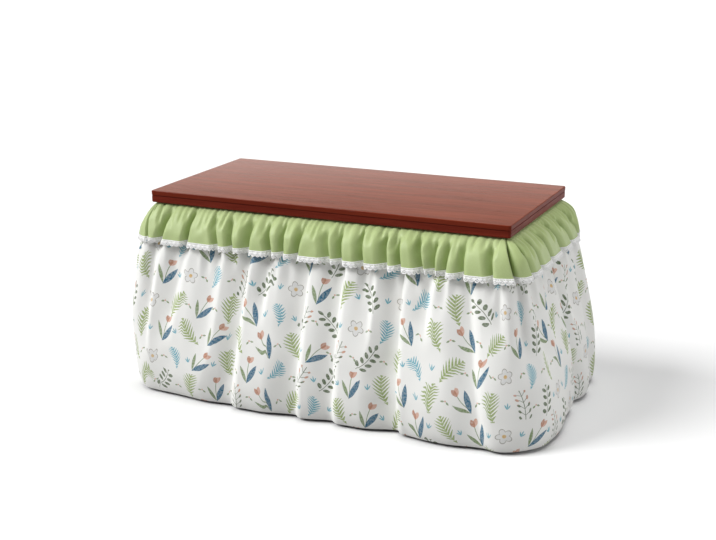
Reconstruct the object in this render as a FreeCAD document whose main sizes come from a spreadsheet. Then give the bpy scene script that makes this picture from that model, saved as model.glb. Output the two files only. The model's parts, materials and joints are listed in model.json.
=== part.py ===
"""Heated low table (kotatsu) with a lift-off lacquered top, a wooden leg frame, a heater under the top
and a gathered cloth cover with a frill.

Frame of the part: millimetres, +Z up, the long side along X, origin on the floor under the table's middle.
"""

import FreeCAD
import Part
import Sketcher
import math
import os

from FreeCAD import Placement, Rotation, Vector

PARTS = "parts"
DOC = FreeCAD.newDocument("kotatsu_table")

# Driving dimensions, in millimetres, degrees or plain counts: alias, value, meaning.
DIMENSIONS = [
    ("table_height", 660, "floor to the top's upper face"),
    ("top_length", 1200, "top along X"),
    ("top_width", 600, "top along Y"),
    ("top_corner", 9, "radius of the top's upright corners"),
    ("panel_thick", 14, "lacquered panel, the thin upper lip of the edge"),
    ("panel_round", 2.5, "rounding of the panel's upper rim"),
    ("band_height", 24, "edge band under the panel"),
    ("band_width", 60, "edge band, across"),
    ("band_step", 0.6, "face of the band behind the lip"),
    ("band_neck", 2.4, "neck of the band behind the lip"),
    ("band_round", 4, "rounding of the band's lower rim"),
    ("groove_height", 3, "shadow groove between lip and band"),
    ("batten_width", 60, "batten under the panel"),
    ("batten_place", 300, "middle to batten along X"),
    ("pad_thick", 3, "rubber pad between frame and top"),
    ("pad_radius", 8, "rubber pad"),
    ("frame_inset", 30, "top's edge to the outer face of the legs"),
    ("leg_side", 50, "square leg"),
    ("leg_flat", 16, "flat on the leg's inner corner, measured along each side"),
    ("rail_height", 70, "upper rail"),
    ("rail_thick", 20, "upper rail"),
    ("rail_setback", 3, "outer face of the rail behind the leg's"),
    ("heater_rail_width", 30, "rail that carries the heater"),
    ("heater_rail_height", 40, "rail that carries the heater"),
    ("heater_rail_drop", 10, "top of the heater rail below the frame's top"),
    ("heater_rail_gap", 2, "housing's wall to the heater rail"),
    ("lower_rail_height", 40, "lower rail"),
    ("lower_rail_thick", 26, "lower rail"),
    ("lower_rail_low", 60, "floor to the lower rail's underside"),
    ("tenon_thick", 12, "tenon of the lower rail"),
    ("tenon_height", 26, "tenon of the lower rail"),
    ("tenon_length", 18, "tenon of the lower rail"),
    ("slat_width", 60, "foot-rest slat"),
    ("slat_thick", 20, "foot-rest slat"),
    ("slat_pitch", 118, "slat to slat"),
    ("bracket_thick", 3, "steel corner bracket"),
    ("bracket_height", 52, "steel corner bracket"),
    ("bracket_flange", 24, "bracket's flange on the rail"),
    ("bracket_gap", 2, "leg's flat to the bracket's plate"),
    ("flange_hole", 14.4, "bend to the screws along a flange"),
    ("bolt_clearance", 0.5, "hanger bolt to its hole in the plate"),
    ("screw_clearance", 0.2, "wood screw to its hole in a flange"),
    ("bolt_radius", 4, "M8 hanger bolt"),
    ("bolt_length", 58, "M8 hanger bolt"),
    ("bolt_out", 24, "hanger bolt outside the leg's flat"),
    ("bolt_spread", 26, "upper to lower hanger bolt"),
    ("nut_radius", 8, "wing nut's hub"),
    ("nut_height", 8, "wing nut's hub"),
    ("wing_span", 34, "tip to tip of the wing nut"),
    ("wing_height", 12, "wing of the nut"),
    ("wing_thick", 2.4, "wing of the nut"),
    ("wing_foot", 1, "nut's seat to its wing"),
    ("screw_radius", 2, "wood screw's shank"),
    ("screw_length", 16, "short wood screw's shank"),
    ("long_screw", 46, "long wood screw's shank"),
    ("screw_head", 4, "wood screw's head, radius"),
    ("head_height", 2.2, "wood screw's head"),
    ("slack", 0.05, "play of a fastener in its hole"),
    ("drill_over", 1, "hole past the end of what it holds"),
    ("foot_height", 15, "levelling foot's pad"),
    ("foot_radius", 18, "levelling foot's pad"),
    ("foot_sole", 4, "rubber-like lower rim of the foot's pad, chamfered"),
    ("stud_radius", 4, "levelling foot's M8 stud"),
    ("stud_length", 38, "levelling foot's M8 stud"),
    ("tee_radius", 10, "tee nut's flange"),
    ("tee_flange", 1.5, "tee nut's flange"),
    ("tee_barrel", 5.5, "tee nut's barrel, radius"),
    ("tee_length", 13, "tee nut's barrel"),
    ("heater_size", 300, "square heater housing"),
    ("heater_above", 26, "housing above its tabs"),
    ("heater_below", 44, "housing below its tabs"),
    ("heater_corner", 10, "housing's upright corners"),
    ("sheet_thick", 1.2, "sheet steel of the housing"),
    ("tab_reach", 28, "mounting tab"),
    ("tab_width", 40, "mounting tab"),
    ("tab_place", 105, "middle to mounting tab"),
    ("tab_clearance", 0.3, "wood screw to its hole in a tab"),
    ("panel_fit", 0.1, "fitting to its hole in the housing's wall"),
    ("spindle_clearance", 1, "spindle to its hole in the housing's wall"),
    ("vent_count", 7, "slots in the roof over the fan"),
    ("vent_pitch", 8, "slot to slot"),
    ("vent_width", 4, "slot"),
    ("vent_length", 54, "slot"),
    ("tube_radius", 6, "quartz tube"),
    ("tube_bore", 4.6, "quartz tube's inside"),
    ("tube_length", 250, "quartz tube"),
    ("tube_front", -65, "front tube along Y"),
    ("tube_back", 15, "back tube along Y"),
    ("tube_drop", 47, "housing's roof to the tube's axis"),
    ("element_radius", 3, "heating element in the tube"),
    ("element_length", 258, "heating element"),
    ("holder_width", 22, "ceramic tube holder"),
    ("holder_thick", 18, "ceramic tube holder"),
    ("holder_below", 12, "tube's axis to the holder's foot"),
    ("holder_grip", 12, "tube's end inside the holder"),
    ("trough_radius", 36, "reflector over each tube"),
    ("reflector_thick", 1, "polished sheet"),
    ("reflector_length", 220, "reflector along the tubes"),
    ("reflector_rim", 6, "flat rim along the troughs"),
    ("hanger_width", 6, "strap that hangs the reflector from the roof"),
    ("hanger_place", 70, "middle to strap along X"),
    ("fan_place", 104, "fan's axis along Y"),
    ("fan_radius", 34, "impeller"),
    ("fan_hub", 9, "impeller's hub"),
    ("fan_height", 16, "impeller's blades"),
    ("fan_gap", 4, "motor to impeller"),
    ("fan_blades", 9, "impeller's blades"),
    ("blade_thick", 1.6, "impeller's blade"),
    ("blade_root", 1, "blade inside the hub"),
    ("motor_radius", 18, "fan motor"),
    ("motor_height", 26, "fan motor"),
    ("shaft_radius", 2, "fan shaft"),
    ("shaft_length", 30, "fan shaft"),
    ("controls_drop", 18, "tab plane to the middle of the controls"),
    ("knob_place", -72, "control knob along X"),
    ("knob_radius", 16, "control knob"),
    ("knob_depth", 16, "control knob"),
    ("knob_round", 2, "rounding of the knob's front rim"),
    ("knob_gap", 0.6, "knob to the housing's face"),
    ("knob_bore", 9, "spindle inside the knob"),
    ("grip_radius", 2, "flute round the knob"),
    ("grip_count", 18, "flutes round the knob"),
    ("pointer_width", 2, "pointer slot on the knob's face"),
    ("spindle_radius", 3, "thermostat's spindle"),
    ("spindle_inside", 14, "spindle inside the thermostat"),
    ("thermostat_size", 26, "thermostat's case"),
    ("thermostat_depth", 20, "thermostat's case"),
    ("switch_place", 20, "rocker switch along X"),
    ("bezel_width", 24, "switch bezel's flange"),
    ("bezel_height", 26, "switch bezel's flange"),
    ("bezel_thick", 1.6, "switch bezel's flange"),
    ("bezel_wall", 1.3, "switch bezel's sleeve"),
    ("bezel_depth", 14, "switch bezel's sleeve"),
    ("rocker_width", 14, "rocker"),
    ("rocker_reach", 7.6, "rocker's axis to either end"),
    ("rocker_front", 3, "rocker's axis to its raised ends"),
    ("rocker_back", 4, "rocker's axis to its back"),
    ("rocker_dip", 1.4, "rocker's axis to the middle of its face"),
    ("rocker_tail", 6, "half the height of the rocker's back"),
    ("rocker_swing", 8.2, "circle that the rocker's ends sweep, radius"),
    ("rocker_tilt", 10, "rocker's lean either way, degrees"),
    ("rocker_play", 0.2, "rocker to its sleeve"),
    ("pivot_radius", 1.5, "rocker's pivot"),
    ("pivot_out", 1, "rocker's pivot inside the sleeve's wall"),
    ("lens_place", 78, "pilot lens along X"),
    ("lens_radius", 4, "pilot lens"),
    ("lens_rim", 6, "pilot lens's rim, radius"),
    ("lens_depth", 10, "pilot lens"),
    ("inlet_width", 30, "power inlet"),
    ("inlet_height", 22, "power inlet"),
    ("inlet_depth", 24, "power inlet"),
    ("inlet_flange", 4, "power inlet's flange round its body"),
    ("inlet_well", 18, "depth of the power inlet's socket"),
    ("inlet_wall", 3, "wall round the power inlet's socket"),
    ("pin_radius", 2, "inlet pin"),
    ("pin_pitch", 12, "inlet pin to inlet pin"),
    ("pin_length", 14, "inlet pin"),
    ("grille_height", 14, "guard's rim"),
    ("grille_thick", 3, "guard's rim"),
    ("grille_bar", 1.6, "guard's bar, radius"),
    ("grille_pitch", 18, "bar to bar"),
    ("grille_bars", 15, "guard's bars"),
    ("grille_bite", 1, "strip into the bars"),
    ("cloth_thick", 3.5, "cloth with its lining, measured level"),
    ("lace_thick", 2.6, "lace with its gathers, measured level"),
    ("waist_gap", 0.6, "elastic to the legs"),
    ("waist_thick", 3.4, "elastic waistband"),
    ("waist_height", 26, "elastic waistband"),
    ("header_height", 617, "floor to the waistband's upper edge"),
    ("fold_points", 6, "points that draw one fold"),
    ("corner_way", 200, "way round that a corner of the cover counts for"),
    ("header_rounding", 0.8, "how early a fold leaves its place at the header"),
    ("fold_fade", 0.3, "share of a short fold's height over which it fades out"),
    ("fold_sharpness", 3, "power at which neighbouring folds add up"),
    ("fold_opening", 0.45, "how much wider a fold is at the hem than at the header"),
    ("fold_crease", 0.3, "share of a fold's flank that is straight"),
]

# The cover is drawn by the way round it, from the diagonal of its front left corner, and the height over the
# floor. A drape has one row for each level: its height, how far the cloth stands outside the legs' outer faces
# at the front and back, at its narrow corner and at its wide sides, the share of their depth that folds have
# there, and the most that a fold may have in a long wall and in a short one, which leaves knees their room.
DRAPE = ("level", "front", "narrow", "wide", "share", "most_long", "most_short")
# A fold's way round at the header and at the hem, the height where it ends, its depth, and the width of the
# flank before its valley and of the one after it.
FOLD = ("header", "hem", "end", "depth", "before", "after")
# A swell of the cloth between folds: its way round, level, half width, half height and size.
SWELL = ("way", "level", "wide", "tall", "size")
# How much the narrow and the wide outline count at a way round; the front outline takes the rest.
OUTLINE = ("way", "narrow", "wide")

TABLES = {
    "skirt": (
        DRAPE,
        [
            (15, 130, 91, 157, 0.68, 28, 28),
            (40, 139, 99, 162, 0.8, 28, 28),
            (100, 146, 110, 161, 1, 28, 28),
            (200, 139, 118, 150, 1, 26, 26),
            (300, 124, 112, 130, 1, 15, 14),
            (400, 104, 95, 106, 1, 15, 14),
            (480, 86, 80, 86, 1, 14, 18),
            (530, 68, 62, 68, 0.85, 18, 24),
            (565, 45, 42, 45, 0.45, 40, 40),
            (590, 24, 23, 24, 0.18, 40, 40),
            (608, 12, 12, 12, 0.06, 40, 40),
            (617, 10, 10, 10, 0.04, 40, 40),
        ],
    ),
    "frill": (
        DRAPE,
        [
            (519, 90, 78, 94, 0.9, 24, 24),
            (540, 85, 72, 89, 0.76, 24, 24),
            (560, 79, 64, 82.5, 0.52, 24, 24),
            (585, 66, 52, 69, 0.24, 24, 24),
            (600, 54, 41.5, 56, 0.12, 24, 24),
            (612, 35, 30, 36, 0.06, 24, 24),
            (619, 21, 20.5, 21, 0.04, 24, 24),
        ],
    ),
    "lace": (
        DRAPE,
        [
            (499, 98, 86, 102, 0.95, 24, 24),
            (519, 93.5, 81.5, 97.5, 0.9, 24, 24),
            (527, 91.7, 79.3, 95.7, 0.85, 24, 24),
        ],
    ),
    "fold": (
        FOLD,
        [
            (125, 40, 100, 20, 57, 27),
            (235, 100, 150, 15, 68, 30),
            (338, 285, 100, 14, 61, 42),
            (455, 388, 0, 30, 76, 27),
            (522, 470, 260, 18, 49, 23),
            (652, 617, 0, 29, 76, 25),
            (766, 740, 0, 29, 68, 27),
            (860, 850, 220, 15, 57, 30),
            (951, 957, 0, 40, 80, 25),
            (1046, 1030, 280, 18, 53, 25),
            (1146, 1240, 0, 20, 68, 34),
            (1262, 1300, 300, 14, 49, 30),
            (1361, 1366, 200, 20, 49, 46),
            (1482, 1466, 160, 21, 38, 57),
            (1590, 1600, 220, 16, 34, 57),
            (1698, 1760, 0, 40, 30, 68),
            (1800, 1850, 200, 18, 34, 57),
            (1925, 1950, 0, 24, 42, 65),
            (2100, 2120, 200, 20, 53, 38),
            (2205, 2230, 0, 26, 38, 68),
            (2305, 2300, 240, 16, 57, 30),
            (2420, 2395, 0, 30, 72, 28),
            (2535, 2550, 0, 25, 34, 68),
            (2640, 2630, 200, 16, 49, 34),
            (2735, 2755, 0, 34, 76, 27),
            (2850, 2835, 280, 18, 53, 27),
            (2940, 2965, 0, 27, 34, 68),
            (3060, 3045, 120, 20, 57, 34),
            (3160, 3185, 0, 31, 72, 27),
            (3275, 3270, 220, 17, 53, 30),
            (3375, 3345, 0, 22, 38, 57),
            (3490, 3470, 200, 18, 49, 34),
            (3600, 3630, 0, 23, 68, 27),
            (3715, 3700, 200, 18, 49, 30),
            (3820, 3850, 0, 23, 34, 65),
            (3925, 3915, 240, 17, 49, 30),
            (4030, 4055, 100, 20, 57, 34),
        ],
    ),
    "swell": (
        SWELL,
        [
            (300, 100, 100, 160, 6),
            (500, 120, 90, 140, 4),
            (680, 100, 60, 140, 4),
            (1100, 90, 90, 140, 14),
            (1520, 80, 120, 160, 14),
            (1880, 60, 90, 120, 4),
            (3740, 80, 140, 160, 12),
        ],
    ),
    "outline": (
        OUTLINE,
        [
            (0, 1, 0),
            (180, 0.6, 0),
            (360, 0, 0),
            (1100, 0, 0.1),
            (1300, 0, 0.75),
            (1500, 0, 1),
            (2000, 0, 0.9),
            (2300, 0, 0.2),
            (3100, 0, 0),
            (3300, 0, 0.75),
            (3500, 0, 1),
            (3820, 0, 0.95),
            (3980, 0.5, 0.4),
            (4080, 0.9, 0.05),
            (4160, 1, 0),
        ],
    ),
}


class Size:
    """A number of the sheet, or a sum made from some, with the expression that gives it."""

    def __init__(self, value, formula):
        self.value = value
        self.formula = formula

    def _with(self, other, result, sign, turned=False):
        text = other.formula if isinstance(other, Size) else repr(other)
        first, second = (text, self.formula) if turned else (self.formula, text)
        return Size(result, f"({first} {sign} {second})")

    def __add__(self, other):
        return self._with(other, self.value + number(other), "+")

    def __radd__(self, other):
        return self._with(other, number(other) + self.value, "+", True)

    def __sub__(self, other):
        return self._with(other, self.value - number(other), "-")

    def __rsub__(self, other):
        return self._with(other, number(other) - self.value, "-", True)

    def __mul__(self, other):
        return self._with(other, self.value * number(other), "*")

    def __rmul__(self, other):
        return self._with(other, number(other) * self.value, "*", True)

    def __truediv__(self, other):
        return self._with(other, self.value / number(other), "/")

    def __neg__(self):
        return Size(-self.value, f"(0 - {self.formula})")


def number(size):
    return size.value if isinstance(size, Size) else size


class Dimensions:
    """The driving dimensions: each is an alias of the sheet, and a Size here."""

    def __init__(self):
        self.sheet = DOC.addObject("Spreadsheet::Sheet", "Dims")
        self.rows = 0
        for alias, value, meaning in DIMENSIONS:
            self.keep(alias, value, meaning)
        for table, (columns, rows) in TABLES.items():
            for i, row in enumerate(rows, start=1):
                for column, value in zip(columns, row):
                    self.keep(f"{table}_{column}_{i}", value, f"{table}, {column} {i}")
        DOC.recompute()

    def keep(self, alias, value, meaning):
        self.rows += 1
        self.sheet.set(f"A{self.rows}", alias)
        self.sheet.set(f"B{self.rows}", str(value))
        self.sheet.set(f"C{self.rows}", meaning)
        self.sheet.setAlias(f"B{self.rows}", alias)
        setattr(self, alias, Size(value, f"Dims.{alias}"))

    def table(self, name):
        """A table's rows as the sheet holds them."""
        columns, rows = TABLES[name]
        count = range(1, len(rows) + 1)
        return [tuple(float(self.sheet.get(f"{name}_{column}_{i}")) for column in columns) for i in count]


d = Dimensions()
SUBPARTS = []

# Heights and faces that several pieces share.
top_under = d.table_height - d.panel_thick - d.band_height
frame_top = top_under - d.pad_thick
leg_face_x = d.top_length / 2 - d.frame_inset
leg_face_y = d.top_width / 2 - d.frame_inset
leg_x = leg_face_x - d.leg_side / 2
leg_y = leg_face_y - d.leg_side / 2
leg_inner_x = leg_face_x - d.leg_side
leg_inner_y = leg_face_y - d.leg_side
rail_inner_x = leg_face_x - d.rail_setback - d.rail_thick
rail_inner_y = leg_face_y - d.rail_setback - d.rail_thick
rail_low = frame_top - d.rail_height
tab_plane = frame_top - d.heater_rail_drop - d.heater_rail_height
heater_roof = tab_plane + d.heater_above
heater_ceiling = heater_roof - d.sheet_thick
heater_floor = tab_plane - d.heater_below
heater_face = d.heater_size / 2
heater_wall = heater_face - d.sheet_thick
heater_rail_x = heater_face + d.heater_rail_gap + d.heater_rail_width / 2
controls_z = tab_plane - d.controls_drop
tube_z = heater_roof - d.tube_drop
slat_low = d.lower_rail_low + d.lower_rail_height

HALF = math.sqrt(0.5)
UP = Vector(0, 0, 1)
TINY = 1e-6

# A side of the table, its turn from the front, its run along the side and the table's reach across it.
SIDES = [
    ("front", 0, d.top_length, d.top_width),
    ("right", 90, d.top_width, d.top_length),
    ("back", 180, d.top_length, d.top_width),
    ("left", 270, d.top_width, d.top_length),
]

# A corner, its signs along X and Y, and the way from its leg to the table's middle, in degrees.
CORNERS = [
    ("front_left", -1, -1, 45),
    ("front_right", 1, -1, 135),
    ("back_right", 1, 1, 225),
    ("back_left", -1, 1, 315),
]

# The rails on the two sides of each corner's diagonal, the one a quarter turn ahead first.
RAIL_OF = {
    "front_left": ("rail_left", "rail_front"),
    "front_right": ("rail_front", "rail_right"),
    "back_right": ("rail_right", "rail_back"),
    "back_left": ("rail_back", "rail_left"),
}


def bind(item, **sizes):
    """Binds properties of an object to the sheet, by name; a double underscore stands for a dot."""
    for name, size in sizes.items():
        path = name.replace("__", ".")
        if isinstance(size, Size):
            item.setExpression(path, size.formula)
        else:
            item.setExpression(path, repr(float(size)))
    return item


def place(item, x=0, y=0, z=0):
    return bind(item, Placement__Base__x=x, Placement__Base__y=y, Placement__Base__z=z)


def stand(item, turn, x, y, z):
    """Turns an object about +Z and puts it at x, y, z."""
    item.Placement = Placement(Vector(), Rotation(UP, turn))
    return place(item, x, y, z)


def node(item, label):
    """Marks an object as a sub-part: its label names its file."""
    item.Label = label
    SUBPARTS.append(item)
    return item


def box(name, x, y, z, length, width, height):
    """A block from a low corner."""
    item = DOC.addObject("Part::Box", name)
    bind(item, Length=length, Width=width, Height=height)
    return place(item, x, y, z)


def block(name, x, y, z, length, width, height):
    """A block whose base is centred on x, y."""
    return box(name, x - length / 2, y - width / 2, z, length, width, height)


def rod(name, x, y, z, radius, length, axis=Vector(0, 0, 1)):
    """A round bar that starts at x, y, z and runs along axis."""
    item = DOC.addObject("Part::Cylinder", name)
    bind(item, Radius=radius, Height=length)
    item.Placement = Placement(Vector(), Rotation(UP, axis))
    return place(item, x, y, z)


def fuse(name, items):
    item = DOC.addObject("Part::MultiFuse", name)
    item.Shapes = items
    return item


def cut(name, base, tools):
    item = DOC.addObject("Part::Cut", name)
    item.Base = base
    item.Tool = tools[0] if len(tools) == 1 else fuse(name + "_tools", tools)
    return item


def common(name, first, second):
    item = DOC.addObject("Part::Common", name)
    item.Base = first
    item.Tool = second
    return item


def group(name, items):
    """Several separate solids in one node."""
    item = DOC.addObject("Part::Compound", name)
    item.Links = items
    return item


def upright_edges(shape):
    """The numbers of a solid's straight upright edges."""
    found = []
    for index, edge in enumerate(shape.Edges, start=1):
        straight = isinstance(edge.Curve, Part.Line)
        if straight and abs(edge.Curve.Direction.z) > 1 - TINY:
            found.append(index)
    return found


def level_edges(shape, height):
    """The numbers of a solid's edges that lie level at a height."""
    found = []
    for index, edge in enumerate(shape.Edges, start=1):
        span = edge.BoundBox
        if abs(span.ZMin - number(height)) < TINY and abs(span.ZMax - number(height)) < TINY:
            found.append(index)
    return found


def rounded(name, base, radius, edges):
    """Fillets the edges that the function edges picks from the base's shape."""
    DOC.recompute()
    item = DOC.addObject("Part::Fillet", name)
    item.Base = base
    item.Edges = [(index, number(radius), number(radius)) for index in edges(base.Shape)]
    return item


# PartDesign helpers


def body(name, label):
    item = DOC.addObject("PartDesign::Body", name)
    return node(item, label)


def origin_plane(owner, role):
    return next(f for f in owner.Origin.OriginFeatures if f.Role == role)


def sketch(owner, name, role, offset=0):
    """A sketch on one of its body's own origin planes, raised along the plane's normal."""
    item = owner.newObject("Sketcher::SketchObject", name)
    item.AttachmentSupport = [(origin_plane(owner, role), "")]
    item.MapMode = "FlatFace"
    bind(item, AttachmentOffset__Base__z=offset)
    return item


def pin(drawing, edge, point, x, y):
    """Holds one point of a sketch at x, y."""
    for kind, value, axis in (("DistanceX", x, -2), ("DistanceY", y, -1)):
        if number(value) == 0:
            drawing.addConstraint(Sketcher.Constraint("PointOnObject", edge, point, axis))
            continue
        index = drawing.addConstraint(
            Sketcher.Constraint(kind, -1, 1, edge, point, float(number(value)))
        )
        if isinstance(value, Size):
            drawing.setExpression(f"Constraints[{index}]", value.formula)


def polygon(drawing, corners):
    """A closed outline of straight lines through corners whose places are bound to the sheet."""
    spots = [Vector(number(x), number(y), 0) for x, y in corners]
    count = len(spots)
    first = drawing.GeometryCount
    for i in range(count):
        drawing.addGeometry(Part.LineSegment(spots[i], spots[(i + 1) % count]), False)
    for i in range(count):
        drawing.addConstraint(
            Sketcher.Constraint("Coincident", first + i, 2, first + (i + 1) % count, 1)
        )
    for i, (x, y) in enumerate(corners):
        pin(drawing, first + i, 1, x, y)


def circle(drawing, x, y, radius):
    centre = Vector(number(x), number(y), 0)
    edge = drawing.addGeometry(Part.Circle(centre, Vector(0, 0, 1), number(radius)), False)
    index = drawing.addConstraint(Sketcher.Constraint("Radius", edge, float(number(radius))))
    if isinstance(radius, Size):
        drawing.setExpression(f"Constraints[{index}]", radius.formula)
    if number(x) == 0 and number(y) == 0:
        drawing.addConstraint(Sketcher.Constraint("Coincident", edge, 3, -1, 1))
    else:
        pin(drawing, edge, 3, x, y)


def pad(owner, name, drawing, length):
    item = owner.newObject("PartDesign::Pad", name)
    item.Profile = drawing
    return bind(item, Length=length)


def pocket(owner, name, drawing, depth, reverse=False):
    """A pocket that has to take something away."""
    DOC.recompute()
    before = owner.Shape.Volume
    item = owner.newObject("PartDesign::Pocket", name)
    item.Profile = drawing
    item.Reversed = reverse
    bind(item, Length=depth)
    DOC.recompute()
    if owner.Shape.Volume > before - TINY:
        raise RuntimeError(f"{name} cuts nothing")
    return item


def around(owner, name, feature, drawing, count):
    """Repeats a feature round its sketch's normal."""
    item = owner.newObject("PartDesign::PolarPattern", name)
    item.Originals = [feature]
    item.Axis = (drawing, ["N_Axis"])
    item.Angle = 360
    bind(item, Occurrences=count)
    owner.Tip = item
    return item


def revolution(owner, name, drawing):
    """A full turn of a profile about its sketch's upright axis."""
    item = owner.newObject("PartDesign::Revolution", name)
    item.Profile = drawing
    item.ReferenceAxis = (drawing, ["V_Axis"])
    item.Angle = 360
    return item


# Table top


def make_top_panel():
    """Lacquered board: a pad with round upright corners and a softened upper rim."""
    panel = body("TopPanel", "top_panel")
    outline = sketch(panel, "TopOutline", "XY_Plane", d.table_height - d.panel_thick)
    x, y = d.top_length / 2, d.top_width / 2
    polygon(outline, [(-x, -y), (x, -y), (x, y), (-x, y)])
    board = pad(panel, "TopPad", outline, d.panel_thick)
    DOC.recompute()
    corners = panel.newObject("PartDesign::Fillet", "TopCorners")
    corners.Base = (board, [f"Edge{i}" for i in upright_edges(board.Shape)])
    bind(corners, Radius=d.top_corner)
    DOC.recompute()
    rim = panel.newObject("PartDesign::Fillet", "TopRim")
    rim.Base = (corners, [f"Edge{i}" for i in level_edges(corners.Shape, d.table_height)])
    bind(rim, Radius=d.panel_round)


def rounded_slab(name, inset, low, height):
    """A slab with the top's outline, drawn in by inset."""
    length, width = d.top_length - 2 * inset, d.top_width - 2 * inset
    slab = block(name + "_block", 0, 0, low, length, width, height)
    return rounded(name, slab, d.top_corner - inset, upright_edges)


def make_top_edges():
    """Edge bands: one moulded ring with a groove under the lip, parted at its mitres."""
    face_height = d.band_height - d.groove_height
    neck = rounded_slab("BandNeck", d.band_neck, top_under + face_height, d.groove_height)
    face = rounded_slab("BandFace", d.band_step, top_under, face_height)
    face = rounded("BandRim", face, d.band_round, lambda shape: level_edges(shape, top_under))
    inner_x, inner_y = d.top_length / 2 - d.band_width, d.top_width / 2 - d.band_width
    inside = block("BandInside", 0, 0, top_under, inner_x * 2, inner_y * 2, d.band_height)
    ring = cut("BandRing", fuse("BandSolid", [neck, face]), [inside])
    for side, turn, run, reach in SIDES:
        space = DOC.addObject("Part::Wedge", f"BandSpace_{side}")
        far = run / 2 - d.band_width
        high = top_under + d.band_height
        bind(space, Xmin=-run / 2, Xmax=run / 2, X2min=-far, X2max=far)
        bind(space, Ymin=-reach / 2, Ymax=d.band_width - reach / 2)
        bind(space, Zmin=top_under, Zmax=high, Z2min=top_under, Z2max=high)
        space.Placement = Placement(Vector(), Rotation(UP, turn))
        node(common(f"Band_{side}", ring, space), f"top_edge_{side}")


def make_top_battens():
    run = d.top_width - 2 * d.band_width
    bars = [
        block(f"Batten_{i}", side * d.batten_place, 0, top_under, d.batten_width, run, d.band_height)
        for i, side in enumerate((-1, 1))
    ]
    node(group("TopBattens", bars), "top_battens")


def make_top_pads():
    """Rubber discs on every leg and in the middle of both long rails."""
    mid_rail_y = rail_inner_y + d.rail_thick / 2
    spots = [(sx * leg_x, sy * leg_y) for _, sx, sy, _ in CORNERS] + [(0, mid_rail_y), (0, -mid_rail_y)]
    pads = [rod(f"Pad_{i}", x, y, frame_top, d.pad_radius, d.pad_thick) for i, (x, y) in enumerate(spots)]
    node(group("TopPads", pads), "top_pads")


# Wood screws and the holes they need

screws = []
holes = {}


def screw(x, y, z, way, length, *into):
    """A wood screw whose head lies against x, y, z and whose shank runs along way into the pieces named."""
    index = len(screws)
    shank = rod(f"Shank_{index}", x, y, z, d.screw_radius, length, way)
    head = rod(f"Head_{index}", x, y, z, d.screw_head, d.head_height, -way)
    screws.append(fuse(f"Screw_{index}", [shank, head]))
    for piece in into:
        drill = rod(f"Drill_{index}_{piece}", x, y, z, d.screw_radius + d.slack, length + d.drill_over, way)
        holes.setdefault(piece, []).append(drill)


def drilled(name, label, base):
    """A wooden piece with the holes of its screws."""
    return node(cut(name, base, holes[label]), label)


def slat_places():
    return [(i, (i - 2.5) * d.slat_pitch) for i in (1, 2, 3, 4)]


def make_screws():
    for side, sx in (("left", -1), ("right", 1)):
        for i, y in slat_places():
            top = slat_low + d.slat_thick
            screw(sx * leg_x, y, top, -UP, d.long_screw, f"foot_slat_{i}", f"lower_rail_{side}")
        for rail, sy in (("rail_front", -1), ("rail_back", 1)):
            height = frame_top - d.heater_rail_drop - d.heater_rail_height / 2
            face = sy * (rail_inner_y + d.rail_thick)
            way = Vector(0, -sy, 0)
            screw(sx * heater_rail_x, face, height, way, d.long_screw, rail, f"heater_rail_{side}")
        for sy in (-1, 1):
            x, y = sx * (heater_face + d.tab_reach / 2), sy * d.tab_place
            screw(x, y, tab_plane - d.sheet_thick, UP, d.screw_length, f"heater_rail_{side}")
    for corner in CORNERS:
        for across, rail in ((1, RAIL_OF[corner[0]][0]), (-1, RAIL_OF[corner[0]][1])):
            u, v = bracket_screw_place()
            for z in bolt_heights():
                x, y, z = corner_spot(corner, u, across * v, z)
                way = corner_way(corner, -HALF, across * HALF)
                screw(x, y, z, way, d.screw_length, rail)
    node(group("WoodScrews", screws), "wood_screws")


# Frame


def corner_way(corner, u, v):
    """A level direction by a leg: u runs to the table's middle, v a quarter turn ahead of it."""
    angle = math.radians(corner[3])
    return Vector(u * math.cos(angle) - v * math.sin(angle), u * math.sin(angle) + v * math.cos(angle), 0)


def corner_spot(corner, u, v, z):
    """A place by a leg, from the leg's axis."""
    _, sx, sy, degrees = corner
    cosine, sine = math.cos(math.radians(degrees)), math.sin(math.radians(degrees))
    return sx * leg_x + cosine * u - sine * v, sy * leg_y + sine * u + cosine * v, z


def bolt_heights():
    middle = frame_top - d.rail_height / 2
    return [middle - d.bolt_spread / 2, middle + d.bolt_spread / 2]


def flat_reach():
    """Distance from a leg's axis to the flat on its inner corner."""
    return (d.leg_side - d.leg_flat) * HALF


def make_leg(corner):
    """Square leg with a flat for its hanger bolts, a mortise and a stepped bore for its foot."""
    label, sx, sy, angle = corner
    leg = DOC.addObject("PartDesign::Body", f"LegBlank_{label}")
    section = sketch(leg, f"LegSection_{label}", "XY_Plane", d.foot_height)
    half, flat = d.leg_side / 2, d.leg_side / 2 - d.leg_flat
    polygon(section, [(-half, -half), (half, -half), (half, flat), (flat, half), (-half, half)])
    pad(leg, f"LegPad_{label}", section, frame_top - d.foot_height)
    seat = sketch(leg, f"TeeSeat_{label}", "XY_Plane", d.foot_height)
    circle(seat, 0, 0, d.tee_radius + d.slack)
    pocket(leg, f"TeePocket_{label}", seat, d.tee_flange, True)
    bore = sketch(leg, f"FootBore_{label}", "XY_Plane", d.foot_height)
    circle(bore, 0, 0, d.tee_barrel + d.slack)
    pocket(leg, f"FootPocket_{label}", bore, d.stud_length + d.tee_length, True)
    stand(leg, angle - 45, sx * leg_x, sy * leg_y, 0)
    way = corner_way(corner, -1, 0)
    tools = [
        rod(f"Pilot_{label}_{i}", *spot, d.bolt_radius + d.slack, d.bolt_length + d.drill_over, way)
        for i, spot in enumerate(bolt_ends(corner))
    ]
    tools.append(tenon(f"Mortise_{label}", sx, sy, d.slack))
    node(cut(f"Leg_{label}", leg, tools), f"leg_{label}")


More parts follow.
